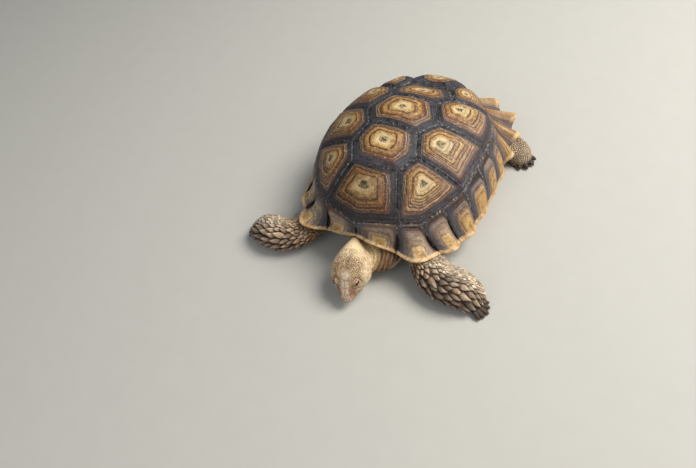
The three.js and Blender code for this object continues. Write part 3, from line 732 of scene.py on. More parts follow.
def marginal_material():
    """Edge plates: gold and brown streaks inside dark bands, widest in front, and a pale worn rim, with
    painted glints, blue-grey painted sky reflection in the bands and painted shade in the rear valleys.
    """
    s = Shader("marginal_horn", roughness=0.55, Specular_IOR_Level=0.4)
    ring, down, seam, ridge, band, side, rear, fore, tone = s.values(
        "ring", "down", "seam", "ridge", "band", "side", "rear", "fore", "tone")
    broad, medium, small, grain = s.mottles(30, 110)
    moved = s.math("MULTIPLY_ADD", broad, 0.12, s.math("MULTIPLY_ADD", tone, 0.08, -0.10))
    moved = s.plus(s.math("MULTIPLY_ADD", medium, 0.08, moved), s.math("SUBTRACT", ring, 0.04))
    straw, gold = srgb(232, 200, 142), srgb(210, 168, 100)
    amber, tan = srgb(188, 136, 74), srgb(190, 160, 124)
    umber, night, mauve, cream = srgb(86, 58, 42), srgb(28, 26, 29), srgb(146, 132, 128), srgb(232, 200, 150)
    honey, bronze = srgb(196, 158, 102), srgb(172, 126, 74)
    middle = s.ramp(moved, [
        (0.0, gold), (0.34, gold), (0.46, amber), (0.58, tan), (0.68, umber), (0.74, mauve),
        (0.86, night), (1.0, night)])
    front = s.ramp(moved, [
        (0.0, amber), (0.20, gold), (0.32, straw), (0.36, mauve), (0.44, tan), (0.58, mauve),
        (0.66, tan), (0.74, mauve), (0.86, umber), (0.92, night), (1.0, night)])
    back = s.ramp(moved, [
        (0.0, honey), (0.42, honey), (0.54, bronze), (0.68, amber), (0.78, umber), (0.84, mauve),
        (0.92, night), (1.0, night)])
    fine, flank = s.layers(moved, 80.0, tone, 3.0), s.layers(side, 34.0, tone, 3.0)
    inner = s.times(s.span(ring, 0.82, 0.66), s.span(rear, 0.0, 1.0, 1.0, 0.35))
    streak = s.times(s.span(band, 0.45, 0.25), s.span(rear, 0.0, 1.0, 0.45, 0.2))
    colour = s.coats(s.mix(rear, s.mix(fore, middle, front), back), [
        (streak, 1, (104, 70, 46)),
        (s.span(ridge, 0.72, 0.3, 0.0, 0.7), 1, (56, 38, 30)),
        (s.span(fine, 0.47, 0.39, 0.0, 0.5), 1, (74, 50, 36)),
        (s.span(fine, 0.56, 0.66, 0.0, 0.45), 1, (216, 188, 144)),
        (s.times(s.span(flank, 0.52, 0.38), rear), 1, (122, 76, 42)),
        (s.times(s.span(flank, 0.57, 0.68, 0.0, 0.5), rear), 1, (226, 194, 144)),
        (s.times(s.span(small, 0.53, 0.62, 0.0, 0.5), inner), 1, (72, 50, 36)),
        # Pale cream specks: painted glints.
        (s.times(s.span(small, 0.46, 0.36, 0.0, 0.4), inner), 1, (222, 194, 146)),
    ])
    blot = s.times(s.span(medium, 0.54, 0.66, 0.0, 0.35), inner)
    colour = s.mix(blot, colour, s.mix(fore, srgb(132, 90, 50), srgb(84, 72, 74)))
    # The front side of each plate carries its dark band; on the rear plates it is widened into the recessed
    # valley between the lobes as painted shade, and the band is streaked blue-grey as painted sky reflection.
    dark_side = s.plus(side, s.times(rear, -0.12))
    shade = s.times(s.span(dark_side, 0.40, 0.16), s.span(medium, 0.2, 0.5, 0.7, 1.0))
    steel = s.mix(s.span(fine, 0.44, 0.58), night, srgb(96, 96, 106))
    colour = s.mix(s.times(shade, 0.85), colour, steel)
    worn = s.math("MULTIPLY_ADD", s.noise(150, 5, 0.7), 0.5, s.span(down, 0.84, 1.02, -0.35, 0.75))
    valley = s.times(rear, s.span(side, 0.50, 0.30))
    rim = s.times(s.span(worn, 0.25, 0.5, 0.0, 0.9), s.math("SUBTRACT", 1.0, valley))
    colour = s.mix(rim, colour, s.mix(s.span(medium, 0.45, 0.6), cream, srgb(190, 140, 80)))
    crust = s.times(s.span(seam, 2.8, 1.2), s.span(small, 0.52, 0.59))
    colour = s.mix(s.times(crust, 0.6), colour, srgb(176, 166, 154))
    colour = s.mix(s.span(grain, 0.34, 0.66, 0.0, 0.35), colour, s.mix(0.5, colour, srgb(40, 26, 18)))
    under = s.mix(s.span(medium, 0.3, 0.7), srgb(170, 140, 98), srgb(126, 98, 68))
    colour = s.mix(s.span(down, 1.1, 1.3), colour, under)
    height = s.plus(s.times(fine, 0.8), s.plus(s.times(grain, 0.8), small))
    return s.finish(colour, s.span(medium, 0.3, 0.7, 0.40, 0.64), height, distance=0.4, strength=0.9)


def build_marginals():
    """The edge plates of both sides and the one over the tail."""
    for side, word in ((1, "left"), (-1, "right")):
        for index in range(MARGINALS):
            name = f"marginal_{word}_{index + 1}"
            piece = marginal(name + "_horn", index, index + 1, SEED + 40 + index + 13 * (side < 0), side)
            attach(piece, "root")
            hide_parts(name)
    piece = marginal("supracaudal_horn", MARGINALS, MARGINALS + 1, SEED + 70, folded=True)
    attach(piece, "root")
    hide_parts("supracaudal")


# ---------------------------------------------------------------- flesh stations

LEGS = ("foreleg_left", "foreleg_right", "hindleg_left", "hindleg_right")

# Stations of (forward, left, up, half width, half height), from inside the shell outwards.
FORELEG_LEFT = [
    (100, 84, 50, 24, 24), (144, 98, 38, 28, 23), (170, 119, 30, 31, 23), (181, 145, 27, 32, 24),
    (183, 169, 26, 31, 24), (185, 187, 21, 28, 20), (188, 200, 14, 23, 13.5), (191, 208, 9, 16, 8),
]
FORELEG_RIGHT = [
    (100, -84, 50, 24, 24), (148, -97, 38, 27, 22), (180, -114, 29, 28, 20), (195, -139, 26, 30, 22),
    (197, -164, 25, 31, 23), (195, -186, 21, 27, 20), (194, -201, 14, 22, 13.5), (194, -209, 9, 15, 8),
]
HINDLEG_LEFT = [
    (-88, 78, 52, 26, 26), (-110, 106, 43, 28, 25), (-124, 132, 33, 28, 23),
    (-130, 152, 24, 26, 22), (-131, 163, 11, 25, 23), (-131, 165, -3, 26, 24),
]
HINDLEG_RIGHT = mirrored(HINDLEG_LEFT)
NECK = [
    (96, 12, 62, 38, 34), (138, 22, 49, 46, 28), (166, 26, 38, 47, 22), (186, 17, 34, 36, 18),
    (204, 8, 36, 25, 16),
]
TAIL = [(-150, 0, 44, 20, 18), (-180, 2, 34, 16, 15), (-202, 5, 23, 10, 10), (-218, 9, 14, 4, 4)]

# Stations back from the beak tip: distance, half width, height and depth from the axis, slope of the top.
HEAD_STATIONS = [
    (0, 4, 4, 4.5, 1), (5, 8.8, 8.5, 8, 1), (14, 15.3, 14, 12, 1.1), (27, 24.5, 19.5, 15.5, 1.5),
    (41, 33, 23, 18.5, 1.5), (54, 34, 24.5, 20.5, 1.25), (68, 30, 24, 21, 1.05), (80, 23, 22, 21.5, 1),
    (90, 15.5, 18, 21, 1), (100, 8, 11, 20, 1), (107, 3.5, 6, 18, 1),
]
HEAD_TIP = np.array([19.9, -271.7, 17.0])
HEAD_TURN, HEAD_PITCH, HEAD_LEAN = math.radians(14.5), math.radians(27), math.radians(6)
EYE = {"place": (32, 14.5, 11.0), "radius": 7.0, "facing": (-0.10, 0.72, 0.69), "slit": (7.3, 5.2, 0.5),
       "half_length": 4.8, "half_height": 1.45, "lid": 1.15}

# How far the skin lies inside the solid of each part, which reaches to the tips of its scales.
COAT_DEPTH = {"head": 0.9, "neck": 1.2, "tail": 1.2, "foreleg_left": 2.2, "foreleg_right": 2.2,
              "hindleg_left": 1.5, "hindleg_right": 1.5}
SKIN_VOXEL = 1.7
FINER = (np.inf, 12.5, 8.6)  # how far from an eye each halving of the head's mesh reaches
HEAD_REACH = 46  # how far from the head's axis its surface may lie
HEAD_LENGTH = 90
RIM_CLEARANCE = 2.4  # how far the skin stays below the shell's rim
SOLE_HEIGHT = 0.4  # how far the soles and claws stay above the floor


def head_axes():
    """The directions of back, across and rise in the head's own frame."""
    sin_turn, cos_turn = math.sin(HEAD_TURN), math.cos(HEAD_TURN)
    sin_pitch, cos_pitch = math.sin(HEAD_PITCH), math.cos(HEAD_PITCH)
    back = np.array([-cos_pitch * sin_turn, cos_pitch * cos_turn, sin_pitch])
    side = np.array([cos_turn, sin_turn, 0.0])
    above = np.array([sin_pitch * sin_turn, -sin_pitch * cos_turn, cos_pitch])
    across = side * math.cos(HEAD_LEAN) + above * math.sin(HEAD_LEAN)
    rise = above * math.cos(HEAD_LEAN) - side * math.sin(HEAD_LEAN)
    return np.stack([back, across, rise])


HEAD_AXES = head_axes()


def from_head(places):
    """Places on the head, as (back, across, rise), to points of the frame."""
    return HEAD_TIP + np.asarray(places, float) @ HEAD_AXES


def to_head(points):
    """Points of the frame to places on the head."""
    return (points - HEAD_TIP) @ HEAD_AXES.T


def spline(table, steps):
    """A smooth curve through the rows of a table, with a number of steps between rows."""
    table = np.asarray(table, float)
    position = np.linspace(0, len(table) - 1, (len(table) - 1) * steps + 1)
    first = np.clip(np.floor(position).astype(int), 0, len(table) - 2)
    share = (position - first)[:, None]
    before, after = table[np.maximum(first - 1, 0)], table[np.minimum(first + 2, len(table) - 1)]
    a, b = table[first], table[first + 1]
    lead, trail = 0.5 * (b - before), 0.5 * (after - a)
    leaving = (a * (1 + 2 * share) + lead * share) * (1 - share) ** 2
    return leaving + (b * (3 - 2 * share) - trail * (1 - share)) * share**2


# The rings that round over the end of a limb: how far past it and how wide, in shares of its last half width.
TIP_RINGS = ((0.22, 0.94), (0.4, 0.78), (0.52, 0.5))


class Limb:
    """A tapering tube with its centre line and the frames of its sections."""

    def __init__(self, stations, steps=8):
        rows = spline(stations, steps)
        self.centres = place_at(rows[:, 0], rows[:, 1], rows[:, 2])
        self.half = rows[:, 3:5]
        self.headings = unit(np.gradient(self.centres, axis=0))
        across = unit(np.cross(self.headings[0], (0, 0, 1)))
        self.across = np.empty_like(self.centres)
        for index, heading in enumerate(self.headings):
            across = unit(across - heading * (across @ heading))
            self.across[index] = across
        self.lift = np.cross(self.across, self.headings)
        self.share = np.linspace(0, 1, len(rows))

    def shape(self, inset, sides=48):
        """A closed mesh, rounded over at its far end."""
        turn = np.linspace(0, 2 * np.pi, sides, endpoint=False)
        half = self.half - inset
        centres, across, lift = self.centres, self.across, self.lift
        last = half[-1]
        for advance, narrowing in TIP_RINGS:
            tip = self.centres[-1] + self.headings[-1] * advance * last.min()
            centres = np.concatenate([centres, [tip]])
            half = np.concatenate([half, [last * narrowing]])
            across, lift = (np.concatenate([axis, axis[-1:]]) for axis in (across, lift))
        rings = (centres[:, None] + across[:, None] * (half[:, :1] * np.cos(turn))[..., None]
                 + lift[:, None] * (half[:, 1:] * np.sin(turn))[..., None])
        return closed_tube(rings)

    def locate(self, points):
        """For each point: how many radii it is from the line, its share along it, and the angle round it."""
        away = points[:, None] - self.centres[None]
        distance = np.linalg.norm(away, axis=2) / self.half.mean(axis=1)
        nearest = distance.argmin(axis=1)
        offset = np.take_along_axis(away, nearest[:, None, None], 1)[:, 0]
        turn = np.arctan2(np.einsum("ij,ij->i", offset, self.lift[nearest]),
                          np.einsum("ij,ij->i", offset, self.across[nearest]))
        return distance.min(axis=1), self.share[nearest], turn, self.headings[nearest]


def closed_tube(rings):
    """The points and faces of a tube with a fan over each end."""
    rows, columns = rings.shape[:2]
    points = np.concatenate([rings.reshape(-1, 3), [rings[0].mean(0)], [rings[-1].mean(0)]])
    around, hub = np.arange(columns), rows * columns
    start, end = fan(around, hub, True), fan(hub - columns + around, hub + 1)
    return points, [grid_faces(rows, columns, True), start, end]


LIMBS = {name: Limb(stations) for name, stations in (
    ("neck", NECK), ("tail", TAIL), ("foreleg_left", FORELEG_LEFT), ("foreleg_right", FORELEG_RIGHT),
    ("hindleg_left", HINDLEG_LEFT), ("hindleg_right", HINDLEG_RIGHT))}


def head_shape(inset, sides=64):
    """The head without its features, wider at the cheeks and flat on top."""
    rows = spline(HEAD_STATIONS, 8)
    turn = np.linspace(0, 2 * np.pi, sides, endpoint=False)
    cos, sin = np.cos(turn), np.sin(turn)
    back, half, above, below, slope = (rows[:, index:index + 1] for index in range(5))
    width = (half - inset) * np.sign(cos) * np.abs(cos) ** 0.85
    rise = np.where(sin > 0, (above - inset) * np.abs(sin) ** slope, (below - inset) * sin)
    back = np.broadcast_to(np.maximum(back, inset), width.shape)
    return closed_tube(from_head(np.stack([back, width, rise], -1)))


# Rings of the trunk: how wide, as a share of its widest, and how high.
TRUNK_RINGS = ((0.5, 17), (0.8, 17), (0.96, 30), (0.99, 50), (0.99, 76), (0.9, 95), (0.7, 110), (0.4, 118))
TRUNK = {"half_length": 148, "half_width": 114, "middle": -12, "plan": 2.2}


def trunk_shape():
    """The body inside the shell, which closes the openings for the neck, the legs and the tail."""
    turn = np.linspace(0, 2 * np.pi, 96, endpoint=False)
    cos, sin = np.cos(turn), np.sin(turn)
    power = TRUNK["plan"]
    reach = 1 / (np.abs(cos) ** power + np.abs(sin) ** power) ** (1 / power)
    rings = []
    for scale, height in TRUNK_RINGS:
        ahead = TRUNK["middle"] + TRUNK["half_length"] * cos * reach * scale
        rings.append(place_at(ahead, TRUNK["half_width"] * sin * reach * scale, height))
    return closed_tube(np.stack(rings))


# ---------------------------------------------------------------- skin


def joined(shapes):
    """Several closed meshes as one list of points and faces."""
    points, faces, start = [], [], 0
    for shape_points, shape_faces in shapes:
        if sum(signed_volume(shape_points, part) for part in shape_faces) < 0:
            shape_faces = [part[:, ::-1] for part in shape_faces]
        points.append(shape_points)
        faces += [part + start for part in shape_faces]
        start += len(shape_points)
    return np.concatenate(points), faces


def points_of(mesh, key="co"):
    """The mesh's points in millimetres, or its normals."""
    values = np.empty(len(mesh.vertices) * 3, np.float32)
    mesh.vertices.foreach_get(key, values)
    return values.reshape(-1, 3).astype(float) / (MM if key == "co" else 1)


def put_points(mesh, points):
    """Moves the mesh's vertices to points in millimetres."""
    mesh.vertices.foreach_set("co", (points * MM).astype(np.float32).ravel())
    mesh.update()


def relax(points, edges, rounds, weight=None, strength=0.5):
    """Moves each point towards the middle of its neighbours."""
    count = np.bincount(edges.ravel(), minlength=len(points)).astype(float)[:, None]
    weight = strength if weight is None else strength * weight[:, None]
    for _ in range(rounds):
        total = np.zeros_like(points)
        for axis in range(3):
            total[:, axis] += np.bincount(edges[:, 0], points[edges[:, 1], axis], len(points))
            total[:, axis] += np.bincount(edges[:, 1], points[edges[:, 0], axis], len(points))
        points = points + (total / np.maximum(count, 1) - points) * weight
    return points


def edges_of(mesh):
    """The mesh's edges as pairs of vertices."""
    edges = np.empty(len(mesh.edges) * 2, np.int32)
    mesh.edges.foreach_get("vertices", edges)
    return edges.reshape(-1, 2)


def refine(mesh, chosen):
    """Cuts the faces that have a chosen vertex into quarters."""
    work = bmesh.new()
    work.from_mesh(mesh)
    work.verts.ensure_lookup_table()
    edges = set()
    for index in np.nonzero(chosen)[0]:
        for face in work.verts[index].link_faces:
            edges.update(face.edges)
    bmesh.ops.subdivide_edges(work, edges=list(edges), cuts=1, use_grid_fill=True)
    work.to_mesh(mesh)
    work.free()
    mesh.update()


def bare_skin():
    """Flesh shapes melted into one closed mesh, finer over the head and finest round the eyes."""
    shapes = [limb.shape(COAT_DEPTH[name]) for name, limb in LIMBS.items()]
    points, faces = joined(shapes + [head_shape(COAT_DEPTH["head"]), trunk_shape()])
    source = make_object("skin_source", points, faces, SKIN, {})
    union = source.modifiers.new("union", "REMESH")
    union.mode = "VOXEL"
    union.voxel_size = SKIN_VOXEL * MM
    evaluated = source.evaluated_get(bpy.context.evaluated_depsgraph_get())
    mesh = bpy.data.meshes.new_from_object(evaluated)
    mesh.name = "skin"
    bpy.data.objects.remove(source)
    put_points(mesh, relax(points_of(mesh), edges_of(mesh), 6))
    for eye_reach in FINER:
        places = to_head(points_of(mesh))
        near_head = (places[:, 0] < 84) & (np.hypot(places[:, 1], places[:, 2]) < HEAD_REACH)
        refine(mesh, near_head & (eye_distance(places) < eye_reach))
        places = to_head(points_of(mesh))
        weight = smooth(92, 80, places[:, 0]) * (np.hypot(places[:, 1], places[:, 2]) < HEAD_REACH)
        put_points(mesh, relax(points_of(mesh), edges_of(mesh), 4, weight))
    places = to_head(points_of(mesh))
    nape = bump(places[:, 0] - 78, 11) * (places[:, 2] > -6)
    put_points(mesh, relax(points_of(mesh), edges_of(mesh), 40, nape))
    return mesh


def head_reach(places):
    """How far places lie from the head's axis, as a share of the way to its surface."""
    table = np.array(HEAD_STATIONS, float)
    half, above, below = (np.interp(places[:, 0], table[:, 0], table[:, column]) for column in (1, 2, 3))
    return np.hypot(places[:, 1] / half, places[:, 2] / np.where(places[:, 2] > 0, above, below))


def eye_distance(places):
    """How far places on the head lie from the nearer eye's middle."""
    folded = places * (1, 0, 1) + np.abs(places) * (0, 1, 0)
    return np.linalg.norm(folded - EYE["place"], axis=-1)


# Swellings and hollows of the head: the place in its own frame, the width and the height.
HEAD_SWELLINGS = [
    ((29, 12, 19), 6.5, 1.3),  # brow
    ((17, 12, 6), 6, -1.1),  # hollow in front of the eye
    ((50, 30, 3), 12, 0.9),  # jaw muscle
    ((45, 28, -10), 7, 1.2),  # corner of the jaw
    ((61, 30, -7), 5.5, -1.2),  # ear disc
    ((12, 0, 14), 5, -0.5),  # bridge of the nose
    ((37, 0, 22), 8, 0.5),  # forehead
    ((74, 0, 23), 9, -0.8),  # middle of the nape
    ((60, 14, 24), 9, 0.7),  # back of the crown
    ((22, 24, -2), 6, 0.5),  # cheek
]
NOSTRIL = (2.4, 2.9, 4.6)


def sculpt_head(points, normals):
    """Brows, cheeks, jaw line, ear discs, nostrils, nape folds and the lids round the eyes."""
    places = to_head(points)
    back, rise = places[:, 0], places[:, 2]
    side = np.abs(places[:, 1])
    folded = np.stack([back, side, rise], -1)
    on_head = smooth(94, 84, back) * (np.hypot(side, rise) < HEAD_REACH)
    lift = np.zeros(len(points))
    for centre, width, amount in HEAD_SWELLINGS:
        lift += amount * bump(np.linalg.norm(folded - centre, axis=1), width)
    lift -= 0.6 * bump(side, 3.5) * smooth(46, 54, back) * smooth(88, 76, back) * (rise > 0)
    nostril = np.linalg.norm(folded - NOSTRIL, axis=1)
    lift -= 1.7 * bump(nostril, 0.85) - 0.35 * bump(nostril - 1.7, 0.6)
    mouth = rise - mouth_rise(back)
    jawed = smooth(47, 43, back) * on_head
    lift -= 1.1 * bump(mouth, 0.8) * jawed
    lift -= 0.7 * smooth(0.5, -1.0, mouth) * smooth(-14, -8, mouth) * jawed
    folds = np.sin(2 * np.pi * (back + 2 * noise(points, 14, 31)) / 4.6)
    lift += 0.2 * folds * smooth(72, 84, back)
    lift += 0.22 * noise(points, 5, 32, 2)
    points = points + normals * (lift * on_head)[:, None]
    for sign in (1, -1):
        points = set_eye(points, sign)
    return points


def mouth_rise(back):
    """The height of the closed mouth above the head's axis."""
    return -3.5 - 2.5 * back / 44 - 1.2 * bump(back, 3)


def eye_frame(sign):
    """The middle of an eye, and the directions along its slit, across it and out of it."""
    flip = np.array([1, sign, 1])
    centre = from_head(np.array(EYE["place"]) * flip)
    facing = unit(np.array(EYE["facing"]) * flip)
    slit = np.array(EYE["slit"]) * flip
    slit = unit(slit - facing * (slit @ facing))
    across = np.cross(facing, slit) * sign
    return centre, np.stack([slit, across, facing]) @ HEAD_AXES


def set_eye(points, sign):
    """Shapes the lids over one eyeball and pushes the skin inside their opening behind it."""
    centre, axes = eye_frame(sign)
    u, v, out = ((points - centre) @ axes.T).T
    near = (np.hypot(u, v) < 12) & (out > -2)
    half_length = EYE["half_length"]
    opening = EYE["half_height"] * np.clip(1 - (u / half_length) ** 2, 0, 1) ** 0.75
    middle = -0.5 + 0.25 * (u / half_length) ** 2
    beyond = np.hypot(np.maximum(np.abs(v - middle) - opening, 0), np.maximum(np.abs(u) - half_length, 0))
    inside = np.maximum(opening - np.abs(v - middle), 0)
    gap = np.where(inside > 0, -inside, beyond)
    snapped = np.abs(gap) < 0.26
    v = np.where(near & snapped, v - np.sign(v - middle) * gap, v)
    gap = np.where(snapped, 0, gap)
    reach = np.hypot(u, v)
    ball = np.sqrt(np.maximum(EYE["radius"] ** 2 - reach**2, 0))
    lid = np.sqrt(np.maximum((EYE["radius"] + EYE["lid"]) ** 2 - reach**2, 0))
    hold = smooth(10.5, 3.6, reach)
    shaped = out * (1 - hold) + lid * hold
    shaped -= 0.08 * bump(reach - 8.3, 1.1) * smooth(-3, 0, out)
    shaped += 0.22 * bump(gap - 0.9, 0.5) - 0.16 * bump(gap - 2.1, 0.35)
    shaped += 0.12 * np.cos(2 * np.pi * gap / 1.25) * smooth(2.4, 3.2, gap) * smooth(7.5, 5, gap)
    margin = ball + 0.12 + (shaped - ball - 0.12) * np.sin(np.pi / 2 * np.clip(gap / 0.75, 0, 1))
    shaped = np.where(gap < 0.75, margin, shaped)
    shaped = np.where(gap < -0.05, ball - 0.9 - 1.2 * smooth(0, -1, gap), shaped)
    new = centre + np.stack([u, v, np.where(near, shaped, out)], -1) @ axes
    return np.where(near[:, None], new, points)


LOCATED_AT_ONCE = 20000  # points looked at together


def locate(points):
    """The part that each point belongs to, its share along the part, its angle and the part's direction."""
    places = to_head(points)
    parts = np.full(len(points), "trunk", dtype="<U14")
    share, turn = np.zeros(len(points)), np.zeros(len(points))
    heading = np.zeros((len(points), 3))
    best = np.full(len(points), 1.25)
    for name, limb in LIMBS.items():
        for start in range(0, len(points), LOCATED_AT_ONCE):
            part = slice(start, start + LOCATED_AT_ONCE)
            distance, along_limb, angle, direction = limb.locate(points[part])
            closer = distance < best[part]
            best[part] = np.where(closer, distance, best[part])
            parts[part] = np.where(closer, name, parts[part])
            share[part] = np.where(closer, along_limb, share[part])
            turn[part] = np.where(closer, angle, turn[part])
            heading[part] = np.where(closer[:, None], direction, heading[part])
    on_head = (places[:, 0] < 104) & (head_reach(places) < 1.2)
    parts[on_head] = "head"
    share[on_head] = places[on_head, 0] / HEAD_LENGTH
    turn[on_head] = np.arctan2(places[on_head, 2], places[on_head, 1])
    heading[on_head] = HEAD_AXES[0]
    return parts, share, turn, heading


HEAD_BASE = place_at(203, 9, 50)  # where the neck meets the head, the middle of the neck's folds
FOLD_WIDTH = 6.6


def neck_folds(points):
    """The rings of loose skin round the neck: 1 on top of a fold and -1 in the crease between two."""
    away = np.linalg.norm(points - HEAD_BASE, axis=1)
    return np.sin(2 * np.pi * (away + 2.6 * noise(points, 20, 33) + 0.9 * noise(points, 6, 36)) / FOLD_WIDTH)


def sculpt_body(points, normals, parts, share):
    """Folds of loose skin on the neck and round the legs' roots, and soft unevenness everywhere."""
    away = np.linalg.norm(points - HEAD_BASE, axis=1)
    folds = neck_folds(points)
    crisp = np.sign(folds) * np.abs(folds) ** 0.7
    lift = (parts == "neck") * 0.9 * crisp * smooth(4, 14, away)
    loose = (parts == "trunk") | ((share < 0.35) & (parts != "head") & (parts != "neck"))
    lift += loose * 0.8 * noise(points, 7, 34, 2)
    lift += (parts != "head") * 0.6 * noise(points, 16, 35, 2)
    return points + normals * lift[:, None]


def tuck_under_rim(points, edges, parts):
    """Presses skin that would stand through the shell's rim down beneath it, with a soft slope around."""
    rim = cad_tree(*(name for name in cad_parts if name.startswith(("marginal", "supracaudal"))))
    press = np.zeros(len(points))
    for index in np.nonzero((parts != "trunk") & (points[:, 2] > 12))[0]:
        left, back, height = points[index]
        place, _, _, _ = rim.ray_cast(Vector((left, back, -30)), Vector((0, 0, 1)))
        if place is not None:
            press[index] = max(height - place[2] + RIM_CLEARANCE, 0)
    wanted = press.copy()
    drop = 0.45 * np.linalg.norm(points[edges[:, 0]] - points[edges[:, 1]], axis=1)
    for _ in range(30):
        np.maximum.at(press, edges[:, 0], press[edges[:, 1]] - drop)
        np.maximum.at(press, edges[:, 1], press[edges[:, 0]] - drop)
    soft = relax(press[:, None] * (0, 0, 1), edges, 8)[:, 2]
    press = np.maximum(wanted, soft) * smooth(2, 14, points[:, 2])
    return points - press[:, None] * (0, 0, 1)


# ---------------------------------------------------------------- markings


def blend_to(colour, other, amount):
    """Colours moved towards another one by an amount for each."""
    amount = np.clip(amount, 0, 1)[:, None]
    return colour * (1 - amount) + np.array(other) * amount


def leg_facing(normals):
    """How far the surface of a foreleg faces forwards and down, where its painted shade is deepest."""
    return normals @ np.array([0.15, -0.8, -0.25])


def painted(base, *coats):
    """A base colour with coats of other colours over it, each as strong as its mask says."""
    colour = np.tile(np.array(srgb(*base)), (len(coats[0][0]), 1))
    for amount, other in coats:
        colour = blend_to(colour, srgb(*other), amount)
    return colour


def head_markings(points):
    """Cream, with a mottled crown, grey plates, a pinkish snout and brown cheek patches."""
    back, left, rise = to_head(points).T
    side, mouth = np.abs(left), rise - mouth_rise(back)
    cloud, speck = noise(points, 14, 41, 2), noise(points, 4, 42, 2)
    crown = smooth(26, 36, back) * smooth(80, 66, back) * smooth(27, 19, side) * (rise > 0)
    temple = smooth(19, 27, side) * smooth(32, 44, back) * smooth(-14, -4, rise)
    streak = bump(left - 1 - 3 * noise(points, 9, 43), 4) * smooth(48, 54, back) * smooth(76, 62, back)
    plate = np.hypot((back - 36) / 15, side / 8.0)
    corner = np.hypot(np.hypot(back - 36, rise - 1) / 1.5, side - 27)
    return painted(
        (252, 220, 174),
        (crown * (0.3 + 0.5 * smooth(-0.3, 0.4, cloud)), (244, 204, 156)),
        (np.maximum(smooth(62, 76, back), temple), (255, 228, 182)),
        (streak * 0.5, (160, 138, 108)),
        (smooth(1.15, 0.85, plate) * 0.8, (214, 200, 176)),
        (bump(np.hypot(back - 47, left + 3), 2.2) * 0.85, (84, 76, 66)),
        (smooth(27, 18, back) * 0.9, (240, 208, 186)),
        (bump(np.hypot((back - 17) / 1.6, side - 11), 4.2) * 0.85, (176, 112, 52)),
        (bump(np.hypot(back - 36, side - 21), 5) * 0.4, (224, 170, 124)),
        (bump(corner, 5) * 0.9, (250, 236, 202)),
        (smooth(-1.5, -4.5, mouth) * smooth(56, 44, back), (240, 222, 182)),
        (bump(mouth, 0.7) * smooth(46, 42, back) * 0.8, (70, 44, 30)),
        (smooth(0.3, 0.8, speck) * crown * 0.4, (150, 112, 78)),
        (smooth(-0.1, -0.6, speck) * crown * 0.7, (255, 232, 190)),
    )


def neck_markings(points):
    """Brown, with dark creases of painted shadow, cream behind the head brightened with painted light, and
    darker under the shell as painted shadow.
    """
    away = np.linalg.norm(points - HEAD_BASE, axis=1)
    broken = smooth(-0.5, 0.5, noise(points, 7, 37, 2))
    creases = smooth(0.35, -0.25, neck_folds(points)) * smooth(26, 36, away)
    return painted(
        (174, 134, 92),
        # Dark creases between the folds: painted shadow.
        (creases * (0.45 + 0.5 * broken), (62, 40, 26)),
        # Cream behind the head: the skin's own pale colour, brightened as a painted pool of light where the
        # shell shades the neck.
        (smooth(40, 28, away) * 0.9, (252, 228, 172)),
        # Darker towards the shell: painted shadow of the shell over the neck.
        (smooth(40, 75, away) * 0.75, (52, 36, 24)),
    )


def leg_markings(points, normals, parts, share):
    """Tan, paler on top of the forelegs and darker on their fronts and at the feet; the top and front tones
    are partly the leg's own colour and partly painted light and painted shade.
    """
    cloud, height = noise(points, 14, 41, 2), points[:, 2]
    fore, hind = np.char.startswith(parts, "foreleg"), np.char.startswith(parts, "hind")
    right = parts == "foreleg_right"
    facing = leg_facing(normals)
    return painted(
        (212, 182, 144),
        (smooth(0.1, 0.6, cloud) * 0.7, (228, 202, 180)),
        (smooth(0.0, -0.6, cloud) * 0.6, (150, 124, 96)),
        # Paler on top and darker in front: partly the leg's colour, partly painted light and painted shade.
        (fore * smooth(0.2, -0.2, facing) * 0.95, (255, 236, 204)),
        (fore * smooth(0.15, 0.7, facing) * 0.7, (118, 90, 60)),
        (hind * 0.8, (214, 196, 164)),
        # Darker feet, deeper on the front-facing side as painted shade, and a painted shadow over the front
        # of the right forefoot.
        (fore * smooth(0.74, 0.92, share) * smooth(-0.4, 0.2, facing) * 0.85, (74, 62, 50)),
        (right * smooth(0.54, 0.74, share) * smooth(-0.5, 0.05, facing) * 0.92, (44, 36, 30)),
        (right * smooth(0.6, 0.3, share) * 0.6, (170, 126, 76)),
        (hind * smooth(16, 4, height) * 0.6, (120, 96, 68)),
        (smooth(14, 3, height) * 0.45, (88, 70, 52)),
    )


def markings(points, normals, parts, share):
    """The colour of the skin and of the scales that grow on it."""
    colour = np.tile(np.array(srgb(176, 148, 116)), (len(points), 1))
    colour = np.where((parts == "head")[:, None], head_markings(points), colour)
    colour = np.where((parts == "neck")[:, None], neck_markings(points), colour)
    limb = np.isin(parts, (*LEGS, "tail"))
    return np.where(limb[:, None], leg_markings(points, normals, parts, share), colour)


def skin_material():
    """Dry, finely creased skin, coloured by its markings and darker in the creases and between the scales as
    painted shade.
    """
    s = Shader("tortoise_skin", roughness=0.72, Specular_IOR_Level=0.35, Subsurface_Weight=0.06)
    s.principled.inputs["Subsurface Radius"].default_value = (0.004, 0.002, 0.001)
    tint, dark = s.colour("tint"), s.value("between")
    creases = s.cells(700)
    fine = s.noise(1500, 3, 0.6)
    # Skin between the scales darkened: painted shade in the gaps.
    shade = s.mix(s.math("MULTIPLY", dark, 1.0, clamp=True), tint, srgb(84, 60, 42), "MULTIPLY")
    shade = s.mix(s.times(dark, 0.45), shade, srgb(66, 48, 34))
    # Darker in the fine creases: painted shade.
    shade = s.mix(s.span(creases, 0.0, 0.12, 0.35, 0.0), shade, srgb(110, 80, 56), "MULTIPLY")
    shade = s.mix(s.span(s.noise(260, 4, 0.6), 0.35, 0.7, 0.0, 0.25), shade, srgb(150, 118, 88), "MULTIPLY")
    height = s.plus(s.span(creases, 0.0, 0.2), s.times(fine, 0.35))
    return s.finish(shade, s.span(fine, 0.3, 0.7, 0.62, 0.8), height, distance=0.3, strength=0.6)


